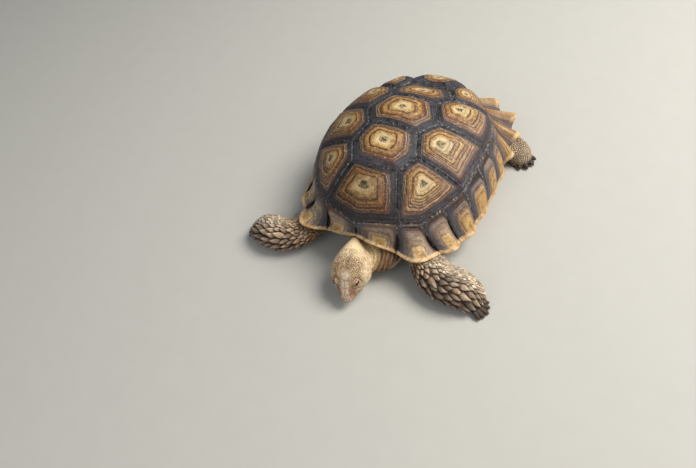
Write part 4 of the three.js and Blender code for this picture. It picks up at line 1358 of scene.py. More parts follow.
def scale_material():
    """Horny scales in the skin's colours, each a little different, paler on top and at the tips and darker at
    the edge and base, partly their own colour and partly painted highlight and painted shade.
    """
    s = Shader("tortoise_scales", roughness=0.55, Specular_IOR_Level=0.45)
    tint = s.colour("tint")
    edge, tone, tip, bold = s.values("edge", "tone", "tip", "bold")
    lines, cracks = s.layers(edge, 7.0, tone, 3.0), s.noise(170, 5, 0.75, distortion=2.0)
    grain = s.noise(1100, 3, 0.65)
    # Darker bases and paler tips of the large scales: partly their own colour, partly painted shade under the
    # scale ahead and painted highlight on the raised tip.
    base = s.times(s.span(tip, 0.1, -0.7), s.times(bold, s.span(tone, 0.0, 1.0, 0.35, 0.8)))
    point = s.times(s.span(tip, 0.2, 1.0), s.times(bold, s.span(tone, 1.0, 0.0, 0.2, 0.8)))
    shade = s.mix(s.span(tone, 0.0, 1.0, 0.0, 0.3), tint, srgb(150, 118, 92), "MULTIPLY")
    shade = s.coats(shade, [
        (base, 1, (74, 56, 42)),
        (point, 1, (226, 204, 184)),
        # Paler crown of each scale: partly painted highlight.
        (s.times(s.span(edge, 0.0, 0.6, 0.28, 0.0), s.span(tone, 0.2, 1.0)), 1, (238, 220, 196)),
        (s.times(bold, s.span(lines, 0.52, 0.38, 0.0, 0.55)), 1, (92, 70, 52)),
        (s.times(bold, s.span(cracks, 0.45, 0.36, 0.0, 0.6)), 1, (70, 50, 38)),
        (s.times(bold, s.span(cracks, 0.55, 0.66, 0.0, 0.5)), 1, (226, 206, 182)),
    ])
    # Darker rim where a scale meets the skin: painted shade.
    rim = s.times(s.span(edge, 0.72, 1.0), s.math("MULTIPLY_ADD", bold, 0.3, 0.5))
    grained = s.span(grain, 0.35, 0.75, 0.0, 0.3)
    shade = s.coats(shade, [(rim, 1, (96, 70, 50)), (grained, 1, (120, 92, 70))], "MULTIPLY")
    shade = s.mix(s.span(s.noise(220, 3, 0.6), 0.55, 0.75, 0.0, 0.3), shade, srgb(110, 84, 62))
    height = s.plus(grain, s.plus(s.times(s.noise(420, 2), 0.8), lines))
    return s.finish(shade, s.span(grain, 0.3, 0.7, 0.48, 0.68), height, distance=0.2, strength=0.5)


def build_skin():
    """One skin over the head, neck, legs, tail and the body inside the shell."""
    mesh = bare_skin()
    points, normals = points_of(mesh), points_of(mesh, "normal")
    parts, share, _, _ = locate(points)
    points = sculpt_body(points, normals, parts, share)
    points = tuck_under_rim(points, edges_of(mesh), parts)
    put_points(mesh, points)
    points = sculpt_head(points, points_of(mesh, "normal"))
    points[:, 2] = np.maximum(points[:, 2], SOLE_HEIGHT)
    put_points(mesh, points)
    mesh.polygons.foreach_set("use_smooth", np.ones(len(mesh.polygons), bool))
    set_values(mesh, "tint", markings(points, points_of(mesh, "normal"), parts, share))
    set_values(mesh, "between", between_scales(points, normals, parts))
    mesh.materials.clear()
    mesh.materials.append(SKIN)
    piece = bpy.data.objects.new("skin", mesh)
    bpy.context.collection.objects.link(piece)
    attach(piece, "root")
    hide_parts("head", "lower_jaw", "neck", "trunk", "tail", *LEGS)
    return piece


def between_scales(points, normals, parts):
    """How dark the skin is that shows between the scales: painted shade in the gaps, lighter where the
    forelegs face up and back as painted light.
    """
    places = to_head(points)
    crown = (parts == "head") * smooth(80, 64, places[:, 0]) * smooth(29, 19, np.abs(places[:, 1]))
    crown *= 0.15 + 0.85 * smooth(0.3, 2.0, plate_distance(places)) * smooth(8, 24, places[:, 0])
    fore, hind = np.char.startswith(parts, "fore"), np.char.startswith(parts, "hind")
    # On the forelegs the gaps are lighter where the leg faces up and back: painted light.
    shaded = 0.95 - 0.05 * hind - 0.6 * fore * smooth(0.1, -0.4, leg_facing(normals))
    return np.isin(parts, (*LEGS, "tail")) * shaded + crown * 0.75 + (parts == "neck") * 0.3


# ---------------------------------------------------------------- eyes


def eye_material():
    """A dark brown eye with a wet gloss: a black pupil inside a brown iris."""
    s = Shader("eye_dark", roughness=0.16, Specular_IOR_Level=0.35, Coat_Weight=0.35, Coat_Roughness=0.06)
    ring = s.value("ring")
    fibres = s.noise(1800, 3, 0.6)
    iris = s.mix(s.span(fibres, 0.3, 0.7), srgb(30, 18, 11), srgb(62, 40, 24))
    shade = s.mix(s.span(ring, 0.34, 0.40), (0.003, 0.003, 0.003), iris)
    shade = s.mix(s.span(ring, 0.66, 0.74), shade, srgb(30, 20, 15))
    return s.finish(shade)


def build_eyes():
    """Two balls, with the cornea standing out a little."""
    around, rows = 48, 28
    for sign, word in ((1, "left"), (-1, "right")):
        centre, axes = eye_frame(sign)
        lean = np.linspace(0.02, math.pi - 0.02, rows)
        turn = np.linspace(0, 2 * np.pi, around, endpoint=False)
        radius = EYE["radius"] * (1 + 0.035 * smooth(0.6, 0.3, lean))
        wide, high = radius * np.sin(lean), np.repeat((radius * np.cos(lean))[:, None], around, 1)
        local = np.stack([np.outer(wide, np.cos(turn)), np.outer(wide, np.sin(turn)), high], -1)
        points, faces = closed_tube(centre + local @ axes)
        ring = np.concatenate([np.repeat(lean, around), [0, math.pi]])
        piece = make_object(f"eyeball_{word}", points, faces, EYE_SURFACE, {"ring": ring})
        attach(piece, "root")
        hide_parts(f"eye_{word}")


# ---------------------------------------------------------------- scales


def cad_tree(*names):
    """A search tree of some CAD nodes, in millimetres."""
    points, faces, start = [], [], 0
    for name in names:
        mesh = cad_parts[name].data
        points += [tuple(vertex.co / MM) for vertex in mesh.vertices]
        faces += [tuple(index + start for index in face.vertices) for face in mesh.polygons]
        start += len(mesh.vertices)
    return BVHTree.FromPolygons(points, faces)


SHELL_GAP = 1.3  # no scale grows nearer to the shell than this


class Ground:
    """The finished skin as a place for scales to grow on."""

    def __init__(self, mesh):
        mesh.calc_loop_triangles()
        triangles = np.empty(len(mesh.loop_triangles) * 3, np.int32)
        mesh.loop_triangles.foreach_get("vertices", triangles)
        self.triangles = triangles.reshape(-1, 3)
        self.points = points_of(mesh)
        self.normals = points_of(mesh, "normal")
        self.parts, self.share, self.turn, self.heading = locate(self.points)
        self.tree = BVHTree.FromPolygons(self.points.tolist(), self.triangles.tolist())
        a, b, c = self.points[self.triangles].transpose(1, 0, 2)
        self.areas = np.linalg.norm(np.cross(b - a, c - a), axis=1) / 2
        self.free = self.outside_shell()

    def outside_shell(self):
        """Which points lie clear of the shell's plates and of the space inside them."""
        left, back, height = self.points.T
        plates = ("marginal", "costal", "vertebral", "supracaudal", "plastron")
        tree = cad_tree(*(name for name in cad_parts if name.startswith(plates)))
        free = ~((back > -126) & (back < 98) & (np.abs(left) < 132) & (height > 10))
        for index in np.nonzero(free)[0]:
            free[index] = tree.find_nearest(Vector(self.points[index]), SHELL_GAP)[0] is None
        return free

    def sample(self, parts, count, rng):
        """Random places on some parts, with their normals and the nearest corner's other values."""
        corner = self.triangles[:, 0]
        allowed = np.isin(self.parts[corner], parts) & self.free[self.triangles].all(axis=1)
        weight = np.cumsum(self.areas * allowed)
        chosen = np.searchsorted(weight, rng.random(count) * weight[-1])
        a, b = rng.random((2, count, 1))
        flip = a + b > 1
        a, b = np.where(flip, 1 - a, a), np.where(flip, 1 - b, b)
        first, second, third = self.triangles[chosen].T

        def spread(values):
            return values[first] + a * (values[second] - values[first]) + b * (values[third] - values[first])

        return spread(self.points), unit(spread(self.normals)), first

    def nearest(self, points):
        found = [self.tree.find_nearest(Vector(point)) for point in points]
        return np.array([hit[0] for hit in found]), np.array([hit[1] for hit in found])


def spacing(points, lie, radii, stretch, a, b):
    """Distances between two lists of seeds as shares of the space that they need."""
    gap = points[b][None] - points[a][:, None]
    ahead = np.einsum("ijk,ik->ij", gap, lie[a])
    squared = np.einsum("ijk,ijk->ij", gap, gap) - ahead**2 * (1 - 1 / stretch[a][:, None] ** 2)
    return np.sqrt(np.maximum(squared, 0)) / (radii[a][:, None] + radii[b][None])


def scatter(points, lie, radii, stretch, tightness=0.84, batch=500):
    """Picks seeds in the given order, so that none is too close to another."""
    kept = np.arange(0)
    for start in range(0, len(points), batch):
        trial = np.arange(start, min(start + batch, len(points)))
        if len(kept):
            trial = trial[(spacing(points, lie, radii, stretch, trial, kept) > tightness).all(axis=1)]
        close = spacing(points, lie, radii, stretch, trial, trial) < tightness
        fresh = []
        for index in range(len(trial)):
            if not close[index, fresh].any():
                fresh.append(index)
        kept = np.concatenate([kept, trial[fresh]])
    return kept


def settle(ground, points, lie, radii, stretch, rounds=3):
    """Evens out the gaps between seeds by letting close ones push each other away."""
    everyone = np.arange(len(points))
    for _ in range(rounds):
        gap = points[None] - points[:, None]
        near = spacing(points, lie, radii, stretch, everyone, everyone)
        np.fill_diagonal(near, 9)
        push = np.maximum(1.12 - near, 0) * (radii[:, None] + radii[None]) * 0.22
        length = np.maximum(np.linalg.norm(gap, axis=2), 1e-6)
        shift = -np.einsum("ijk,ij->ik", gap, push / length)
        points, normals = ground.nearest(points + shift)
    return points, normals


# Where each part's scales keep their patches of colour: the corner and size of its tile on the baked map.
TILES = {
    "head": (0.01, 0.01, 0.38, 0.38), "neck": (0.41, 0.01, 0.28, 0.38), "tail": (0.71, 0.01, 0.27, 0.2),
    "foreleg_left": (0.01, 0.41, 0.23, 0.57), "foreleg_right": (0.26, 0.41, 0.23, 0.57),
    "hindleg_left": (0.51, 0.41, 0.23, 0.57), "hindleg_right": (0.76, 0.41, 0.23, 0.57),
}
PATCH = 0.003  # the size of a scale's patch on the baked map


def unwrap(parts, share, turn):
    """A place on the baked map from a place along and around a part."""
    tiles = np.array([TILES.get(part, TILES["tail"]) for part in parts])
    return tiles[:, :2] + tiles[:, 2:] * np.stack([turn / (2 * np.pi) + 0.5, np.clip(share, 0, 1)], -1)


NEIGHBOURS = 13  # how many seeds nearby may bound a scale


def cell_reach(points, lie, side, radii, stretch, turn, cap=1.35, sharpness=9):
    """How far each seed's cell reaches in each direction, up to the borders with its neighbours."""
    everyone = np.arange(len(points))
    near = spacing(points, lie, radii, stretch, everyone, everyone)
    np.fill_diagonal(near, np.inf)
    closest = np.argpartition(near, NEIGHBOURS, axis=1)[:, :NEIGHBOURS]
    gap = points[closest] - points[:, None]
    ahead = np.einsum("ijk,ik->ij", gap, lie) / stretch[:, None]
    across = np.einsum("ijk,ik->ij", gap, side)
    distance = np.maximum(np.hypot(ahead, across), 1e-6)
    border = distance * radii[:, None] / (radii[:, None] + radii[closest])
    facing = np.cos(turn[None, None] - np.arctan2(across, ahead)[..., None])
    pull = (np.maximum(facing, 0) / border[..., None]) ** sharpness
    return (pull.sum(axis=1) + (1 / (cap * radii[:, None])) ** sharpness) ** (-1 / sharpness)


# Rings of a scale from its middle outwards and down its edge: share of its reach, share of its height.
FULL_RINGS = [(0.4, 0.98), (0.72, 0.88), (0.9, 0.7), (1.0, 0.3)]
SMALL_RINGS = [(0.55, 0.92), (0.92, 0.55)]
SUNK = 1.2  # the edge value of the part of a scale that is sunk in the skin


def grow(name, ground, seeds, style, colours, tones):
    """Solid scales on seeds. A style holds the rings, sides, gap, overlap, keel and sink."""
    keys = ("points", "normals", "radii", "stretch", "height", "tilt", "lie", "uv")
    points, normals, radii, stretch, height, tilt, lie, uv = (seeds[key] for key in keys)
    sides, count = style["sides"], len(points)
    turn = np.linspace(0, 2 * np.pi, sides, endpoint=False)
    side = np.cross(normals, lie)
    reach = cell_reach(points, lie, side, radii, stretch, turn) - style["gap"]
    reach = np.maximum(reach, 0.3 * radii[:, None])
    rings = style["rings"] + [(0.97, None)]
    cos, sin = np.cos(turn)[None], np.sin(turn)[None]
    overlap = 1 + style["overlap"] * np.maximum(cos, 0) ** 1.5
    taper = 1 - style["taper"] * np.maximum(cos, 0) ** 2
    sink = style["sink"] * radii**0.5
    layers, edges = [], []
    for share, rise in rings:
        ahead = reach * share * cos * stretch[:, None] * overlap
        across = reach * share * sin * taper
        if rise is None:
            lift = np.full_like(ahead, -1.0) * sink[:, None]
        else:
            keel = style["keel"] * np.maximum(1 - np.abs(across) / (0.5 * radii[:, None]), 0) * (share < 0.95)
            lean = tilt[:, None] * ahead / (radii * stretch)[:, None]
            lift = height[:, None] * (rise + keel + lean)
        layers.append((ahead, across, lift))
        edges.append(np.full((count, sides), share if rise is not None else SUNK))
    ahead, across, lift = (np.stack([layer[index] for layer in layers], 1) for index in range(3))
    along_lie, along_side = ahead[..., None] * lie[:, None, None], across[..., None] * side[:, None, None]
    flat = points[:, None, None] + along_lie + along_side
    grid = flat + lift[..., None] * normals[:, None, None]
    if style["conform"]:
        found, facing = ground.nearest(flat.reshape(-1, 3))
        lean_in = unit(normals[:, None, None] + 0.6 * facing.reshape(flat.shape))
        grid = found.reshape(flat.shape) + lift[..., None] * lean_in
    grid[..., 2] = np.maximum(grid[..., 2], 0.2)
    crown = points + normals * (height * (1 + style["keel"]))[:, None]
    crown[:, 2] = np.maximum(crown[:, 2], 0.1)
    root = points - normals * sink[:, None]
    blocks = np.concatenate([grid.reshape(count, -1, 3), crown[:, None], root[:, None]], 1)
    block = blocks.shape[1]
    around, last = np.arange(sides), (len(rings) - 1) * sides
    quads = grid_faces(len(rings), sides, True)[:, ::-1]
    start = (np.arange(count) * block)[:, None, None]
    parts = (quads, fan(around, block - 2), fan(last + around, block - 1, True))
    face_sets = [(part[None] + start).reshape(-1, part.shape[1]) for part in parts]

    def spread(grid, top, bottom):
        """A value for every point: the rings', then the top's and the root's."""
        ends = np.full((count, 1), float(top)), np.full((count, 1), float(bottom))
        return np.concatenate([grid.reshape(count, -1), *ends], 1).ravel()

    values = {
        "tint": np.repeat(colours, block, axis=0),
        "edge": spread(np.stack(edges, 1), 0, SUNK),
        "tip": spread(ahead / (radii * stretch)[:, None, None], 0, 0),
        "bold": np.repeat(smooth(2.0, 3.4, radii), block),
        "tone": np.repeat(tones, block),
    }
    circle = np.broadcast_to(np.stack([np.cos(turn), np.sin(turn)], -1), (len(rings), sides, 2))
    shares = np.array([share for share, _ in rings])[:, None, None]
    patch = np.concatenate([(circle * shares).reshape(-1, 2), [[0, 0], [0.1, 0.1]]]) * PATCH / 2
    uvs = (uv[:, None] + patch[None]).reshape(-1, 2)
    piece = make_object(name, blocks.reshape(-1, 3), face_sets, SCALE, values, uv=uvs)
    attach(piece, "root")
    return piece


def lie_along(directions, normals):
    """Directions laid flat on the surface."""
    flat = directions - normals * np.einsum("ij,ij->i", directions, normals)[:, None]
    weak = np.linalg.norm(flat, axis=1) < 0.05
    flat[weak] = np.cross(normals[weak], (0.3, 0.5, 0.8))
    return unit(flat)


def plant(ground, parts, tries, sizes, rng):
    """Seeds on some parts. sizes gives each seed's radius, stretch, height and tilt from its place."""
    points, normals, corner = ground.sample(parts, tries, rng)
    lie = lie_along(ground.heading[corner], normals)
    lie = unit(lie + np.cross(normals, lie) * (0.35 * noise(points, 9, 57))[:, None])
    radii, stretch, _, _ = sizes(points, normals, ground.share[corner])
    wanted = radii > 0
    points, corner, lie, radii, stretch = (values[wanted] for values in (points, corner, lie, radii, stretch))
    kept = scatter(points, lie, radii, stretch)
    points, corner, lie, radii, stretch = (values[kept] for values in (points, corner, lie, radii, stretch))
    points, normals = settle(ground, points, lie, radii, stretch)
    share, turn, parts = ground.share[corner], ground.turn[corner], ground.parts[corner]
    _, _, height, tilt = sizes(points, normals, share)
    return {
        "points": points, "normals": normals, "lie": lie_along(lie, normals), "radii": radii,
        "stretch": stretch, "height": height, "tilt": tilt, "uv": unwrap(parts, share, turn),
        "share": share, "parts": parts,
    }


def foreleg_sizes(points, normals, share):
    """Large pointed scales on the front of the leg, small ones above and behind, blunt ones at the wrist."""
    ahead = normals @ np.array([0.0, -0.98, 0.12])
    bold = smooth(-0.15, 0.65, ahead) * smooth(0.18, 0.4, share) * smooth(1.0, 0.86, share)
    under = smooth(-0.5, -0.9, normals[:, 2])
    radii = 1.55 + 3.1 * bold * (1 - 0.4 * under) + 0.4 * smooth(0.8, 0.9, share)
    radii *= 1 + 0.38 * noise(points, 5.5, 51)
    stretch = 1.12 + 0.5 * bold
    height = 0.6 + 1.55 * bold
    tilt = 0.4 + 0.75 * bold
    return radii, stretch, height, tilt


def hindleg_sizes(points, normals, share):
    """Small flat scales, with larger ones round the front of the foot."""
    toe = smooth(14, 5, points[:, 2])
    radii = (1.5 + 0.9 * toe) * (1 + 0.15 * noise(points, 9, 52))
    radii = np.where(points[:, 2] > 3.2, radii, 0.0)
    return radii, np.full(len(points), 1.1), 0.75 + 0.2 * toe, np.full(len(points), 0.15)


def tail_sizes(points, normals, share):
    """Flat scales, larger towards the tip."""
    radii = 1.7 + 0.8 * smooth(0.4, 0.9, share)
    return radii, np.full(len(points), 1.3), np.full(len(points), 0.6), np.full(len(points), 0.35)


def neck_sizes(points, normals, share):
    """Granules of one size, with the nape left smooth."""
    places = to_head(points)
    nape = np.hypot((places[:, 0] - 80) / 22, places[:, 1] / 24) < 1
    radii = np.where((share > 0.2) & ~nape, 1.25, 0.0) * (1 + 0.12 * noise(points, 9, 53))
    return radii, np.full(len(points), 1.15), np.full(len(points), 0.22), np.zeros(len(points))


def head_sizes(points, normals, share):
    """Granules on the crown and flat scales on the snout and cheeks, lower over the nape and at the eyes."""
    places = to_head(points)
    back, rise, side = places[:, 0], places[:, 2], np.abs(places[:, 1])
    temple = smooth(19, 27, side) * smooth(24, 38, back)
    radii = 1.2 + 0.3 * temple + 0.5 * smooth(26, 16, back) + 0.3 * smooth(-2, -8, rise)
    close = smooth(12.5, 8.5, eye_distance(places))
    radii = radii * (1 - close) + 0.85 * close
    radii *= 1 + 0.25 * noise(points, 3.5, 54)
    nape = smooth(62, 76, back)
    height = (0.24 + 0.28 * radii) * (1 - 0.85 * nape) * (1 - 0.45 * close) * (1 - 0.65 * temple)
    height *= 0.85 + 0.15 * smooth(24, 34, back)
    bare = (back < 3.5) | (back > 84) | on_beak(places) | (slit_distance(points) < 1.4)
    bare |= (np.abs(rise - mouth_rise(back)) < 0.9) & (back < 46)
    bare |= (plate_distance(places) < 0.5) | ((side < 3) & (back > 12) & (back < 34))
    return np.where(bare, 0.0, radii), np.full(len(points), 1.05), height, np.full(len(points), 0.1)


def slit_distance(points):
    """How far points lie from the opening between the lids of the nearer eye."""
    nearest = np.full(len(points), 99.0)
    for sign in (1, -1):
        centre, axes = eye_frame(sign)
        u, v, out = ((points - centre) @ axes.T).T
        distance = np.hypot(np.maximum(np.abs(u) - 3.9, 0), np.maximum(np.abs(v) - 0.9, 0))
        nearest = np.minimum(nearest, np.where(out > 0, distance, 99))
    return nearest


# Outlines of the large plates on top of the head, with corners as (back, across).
HEAD_PLATES = [
    [(50, -2.5), (49, 3.6), (45, 7.2), (38.5, 7.0), (33.2, 3.6), (32.6, -0.4), (33.4, -4.4), (38.5, -8.4),
     (45.5, -8.4), (49, -6)],
    [(32.2, 0.0), (32.8, 3.9), (28.5, 5.6), (22.6, 5.2), (20.8, 0.1)],
    [(32.2, -0.6), (33.0, -4.9), (28.5, -6.2), (22.4, -5.6), (20.4, -0.5)],
    [(20.4, 0.3), (22.2, 5.7), (17.5, 6.6), (12.4, 4.4), (12.6, 0.3)],
    [(20.0, -0.8), (22.0, -6.0), (17.2, -6.8), (12.6, -4.6), (12.4, -0.3)],
]


def plate_distance(places):
    """How far places on the head lie outside the nearest large plate, seen from above; negative inside."""
    spots = places[:, :2]
    nearest = np.full(len(spots), 99.0)
    for outline in HEAD_PLATES:
        start = np.array(outline, float)
        end = np.roll(start, -1, axis=0)
        edge = end - start
        away = spots[:, None] - start
        share = np.clip(np.einsum("ijk,jk->ij", away, edge) / (edge**2).sum(axis=1), 0, 1)
        distance = np.linalg.norm(away - share[..., None] * edge, axis=2).min(axis=1)
        crossing = (start[:, 1] > spots[:, None, 1]) != (end[:, 1] > spots[:, None, 1])
        slope = np.where(edge[:, 1] == 0, 1e-9, edge[:, 1])
        beyond = spots[:, None, 0] < start[:, 0] + (spots[:, None, 1] - start[:, 1]) * edge[:, 0] / slope
        inside = (crossing & beyond).sum(axis=1) % 2 == 1
        nearest = np.minimum(nearest, np.where(inside, -distance, distance))
    return np.where(places[:, 2] > 0, nearest, 99.0)


def build_head_plates(ground):
    """The large plates, each a low dome with a bevelled edge, laid on the top of the head."""
    levels = [(0.3, 0.62), (0.6, 0.6), (0.85, 0.52), (0.96, 0.38), (1.0, 0.12), (0.99, -0.7)]
    shapes, edges, patches = [], [], []
    for outline in HEAD_PLATES:
        corners = np.array(outline, float)
        closed = np.concatenate([corners, corners[:1]])
        length = np.concatenate([[0], np.cumsum(np.linalg.norm(np.diff(closed, axis=0), axis=1))])
        steps = np.linspace(0, length[-1], 56, endpoint=False)
        loop = np.stack([np.interp(steps, length, closed[:, column]) for column in (0, 1)], -1)
        loop = rounded(loop, 2)
        middle = loop.mean(axis=0)
        loop = middle + (loop - middle) * (1 - 0.05 / np.linalg.norm(loop - middle, axis=1))[:, None]
        spots = [(middle, 0.63)]
        spots += [(middle + share * (place - middle), lift) for share, lift in levels for place in loop]
        spots.append((middle, levels[-1][1]))
        points = []
        for (back, across), lift in spots:
            start = Vector(from_head(np.array([back, across, 60.0])))
            hit, normal, _, _ = ground.tree.ray_cast(start, Vector(-HEAD_AXES[2]))
            points.append(np.array(hit) + lift * unit(0.5 * np.array(normal) + 0.5 * HEAD_AXES[2]))
        count = len(loop)
        around = np.arange(count)
        quads = grid_faces(len(levels), count, True) + 1
        last = (len(levels) - 1) * count + 1
        under = fan(last + around, len(points) - 1, True)
        shapes.append((np.array(points), [quads[:, ::-1], fan(around + 1, 0), under]))
        ring = np.repeat([share for share, _ in levels], count)
        ring[-count:] = SUNK
        edges.append(np.concatenate([[0], ring, [SUNK]]))
        turn = np.tile(2 * np.pi * around / count, len(levels))
        spread = np.stack([np.cos(turn), np.sin(turn)], -1) * np.minimum(ring, 1)[:, None] * PATCH / 2
        centre = to_head(np.array(points[:1]))
        root = unwrap(["head"], centre[:, 0] / 90, np.arctan2(centre[:, 2], centre[:, 1]))
        patches.append(root + np.concatenate([[[0, 0]], spread, [[0, 0]]]))
    starts = np.cumsum([0] + [len(points) for points, _ in shapes[:-1]])
    points = np.concatenate([points for points, _ in shapes])
    face_sets = [faces + start for (_, sets), start in zip(shapes, starts) for faces in sets]
    normals = np.broadcast_to(HEAD_AXES[2], points.shape)
    edge = np.concatenate(edges)
    tint = markings(points, normals, np.full(len(points), "head"), np.full(len(points), 0.4))
    values = {"tint": tint, "edge": edge, "tip": 0 * edge, "bold": 0 * edge, "tone": 0 * edge + 0.35}
    piece = make_object("plates_head", points, face_sets, SCALE, values, uv=np.concatenate(patches))
    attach(piece, "root")


# Ways to shape a scale: its rings and corners, the gap to the next, how far it reaches over the one in front,
# how it narrows to its tip, how high its keel is, how deep it is sunk, and whether it follows the skin.
SMALL = {
    "rings": SMALL_RINGS, "sides": 9, "gap": 0.14, "overlap": 0.0, "taper": 0.0, "keel": 0.0, "sink": 0.35,
    "conform": False,
}
GRAIN = {**SMALL, "rings": [(0.6, 0.95), (0.94, 0.5)], "sides": 11, "gap": 0.05}
FLAT = {**SMALL, "rings": FULL_RINGS[1:], "sides": 10, "gap": 0.2}
BOLD = {
    "rings": FULL_RINGS, "sides": 14, "gap": 0.1, "overlap": 0.55, "taper": 0.45, "keel": 0.4, "sink": 0.5,
    "conform": True,
}


def build_scales(ground):
    """All scales. Each job: name, tries, sizes, style, how much the scales differ in tone, and slot."""
    rng = np.random.default_rng(SEED)
    jobs = [
        ("head", 26000, head_sizes, GRAIN, 0.55, "head_skin"),
        ("neck", 22000, neck_sizes, SMALL, 0.3, "body_skin"),
        ("tail", 6000, tail_sizes, FLAT, 0.3, "body_skin"),
        ("foreleg_left", 16000, foreleg_sizes, BOLD, 0.8, "leg_skin"),
        ("foreleg_right", 16000, foreleg_sizes, BOLD, 0.8, "leg_skin"),
        ("hindleg_left", 22000, hindleg_sizes, FLAT, 0.4, "leg_skin"),
        ("hindleg_right", 22000, hindleg_sizes, FLAT, 0.4, "leg_skin"),
    ]
    for name, tries, sizes, style, contrast, slot in jobs:
        seeds = plant(ground, [name], tries, sizes, rng)
        tones = rng.random(len(seeds["points"]))
        colours = markings(seeds["points"], seeds["normals"], seeds["parts"], seeds["share"])
        colours = colours * (1.1 - contrast * rng.random(len(tones)))[:, None]
        grow(f"scales_{name}", ground, seeds, style, colours, tones)


# ---------------------------------------------------------------- beak

BEAK_BACK = 33.0  # how far back from its tip the horn of the beak reaches
BEAK_CENTRE = np.array([30.0, 0.0, 0.0])  # what the strips of horn swing round, on the head


def on_beak(places):
    """Whether places on the head are covered by the horn of the beak."""
    back, rise = places[:, 0], places[:, 2] - mouth_rise(places[:, 0])
    return (back < BEAK_BACK) & (rise < beak_height(back)) & (rise > -4.2)


def beak_height(back):
    """How far the upper half of the beak reaches above the mouth."""
    return 2.2 + 3.2 * smooth(BEAK_BACK, 4, back)


def beak_material():
    """Horn of the beak: orange-brown, paler along the cutting edge, with fine upright ridges."""
    s = Shader("beak_horn", roughness=0.45, Specular_IOR_Level=0.5)
    down, lower = s.value("down"), s.value("lower")
    moved = s.plus(down, s.span(s.noise(300, 4, 0.6), 0.3, 0.7, -0.15, 0.15))
    upper_shade = s.ramp(moved, [
        (0.0, srgb(178, 136, 104)), (0.4, srgb(160, 112, 72)), (0.75, srgb(132, 90, 58)),
        (0.95, srgb(88, 58, 38)),
    ])
    lower_shade = s.ramp(down, [
        (0.0, srgb(206, 178, 130)), (0.5, srgb(226, 204, 160)), (1.0, srgb(196, 164, 120)),
    ])
    shade = s.mix(lower, upper_shade, lower_shade)
    grain = s.noise(900, 3, 0.6)
    shade = s.mix(s.span(grain, 0.3, 0.7, 0.0, 0.25), shade, srgb(120, 84, 54), "MULTIPLY")
    return s.finish(shade, s.span(grain, 0.3, 0.7, 0.38, 0.55), grain, distance=0.15, strength=0.5)


def beak_half(ground, top, bottom, thickness, lower):
    """A strip of horn round the snout between two heights over the mouth line."""
    steps, rows, away, sunk = 96, 9, 60, 0.7
    swing, row = np.linspace(-1, 1, steps), np.linspace(0, 1, rows)
    grid, facing = np.empty((2, steps, rows, 3))
    for i, turn in enumerate(swing * math.radians(86)):
        aim = np.array([-math.cos(turn), math.sin(turn), 0.0])
        start = BEAK_CENTRE + aim * away
        for j, share in enumerate(row):
            place = start
            for _ in range(3):
                back = np.clip(place[0], 0, 40)
                high = mouth_rise(back) + top(back) * (1 - share) + bottom(back) * share
                outside = Vector(from_head((start[0], start[1], high)))
                hit, normal, _, _ = ground.tree.ray_cast(outside, Vector(-aim @ HEAD_AXES))
                place = to_head(np.array(hit)[None])[0]
            grid[i, j], facing[i, j] = hit, normal
    outward = unit(facing)
    end = np.clip((1 - np.abs(swing)) / 0.12, 0, 1)[:, None]
    height = thickness * np.sin(np.pi / 2 * np.clip(row * 4 + 0.1, 0, 1)) * (0.25 + 0.75 * end)
    height = height * np.where(row > 0.86, 0.85, 1)
    ridges = 0.07 * np.sin(swing[:, None] * 95 + noise(grid, 4, 61) * 2)
    outer = grid + outward * (height + ridges * end)[..., None]
    inner = grid - outward * sunk
    points, faces = closed_tube(np.concatenate([outer, inner[:, ::-1]], 1))
    down = np.tile(np.concatenate([row, row[::-1]]), steps)
    values = {"down": np.concatenate([down, [0.5, 0.5]]), "lower": np.full(len(points), float(lower))}
    return points, faces, values


def build_beak(ground):
    """The two halves of the beak, which meet at the mouth and hook down at the tip."""
    def upper_edge(back):
        return -0.9 - 0.9 * bump(back, 4)

    def lower_edge(back):
        return -0.2 - 0.6 * bump(back, 4)

    def chin_edge(back):
        return -3.4 + 1.2 * smooth(10, 30, back)

    upper = beak_half(ground, beak_height, upper_edge, 0.75, False)
    lower = beak_half(ground, lower_edge, chin_edge, 0.45, True)
    for name, (points, faces, values) in (("beak_upper", upper), ("beak_lower", lower)):
        piece = make_object(name, points, faces, BEAK, values)
        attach(piece, "root")
        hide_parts("lower_jaw")


# ---------------------------------------------------------------- claws

FORE_CLAWS = {"count": 5, "spread": 1.9, "fan": 0.5, "length": 15, "radius": 5.0, "height": 6.5}
HIND_CLAWS = {"count": 4, "spread": 1.6, "fan": 0.6, "length": 12, "radius": 5.2, "height": 6.5}
# The middle of each fan of claws, its reach forward and sideways, and its heading.
FEET = {
    "foreleg_left": ((193, 203), (15, 8), 1.45, FORE_CLAWS),
    "foreleg_right": ((194, -202), (15, 8), -1.45, FORE_CLAWS),
    "hindleg_left": ((-130, 167), (21, 19), 1.0, HIND_CLAWS),
    "hindleg_right": ((-130, -167), (21, 19), -1.0, HIND_CLAWS),
}


def claw_material():
    """Dark horn, streaked lengthways and worn pale at the tip."""
    s = Shader("claw_horn", roughness=0.5, Specular_IOR_Level=0.35)
    along_claw, tone = s.value("along"), s.value("tone")
    shade = s.ramp(along_claw, [
        (0.0, srgb(62, 50, 36)), (0.35, srgb(38, 30, 22)), (0.8, srgb(52, 40, 28)), (1.0, srgb(112, 88, 60)),
    ])
    shade = s.mix(s.times(tone, 0.3), shade, srgb(104, 84, 58))
    streak = s.noise(500, 4, 0.7, distortion=1.5)
    shade = s.mix(s.span(streak, 0.3, 0.7, 0.0, 0.4), shade, srgb(30, 24, 18))
    return s.finish(shade, s.span(streak, 0.3, 0.7, 0.45, 0.68), streak, distance=0.2, strength=0.5)


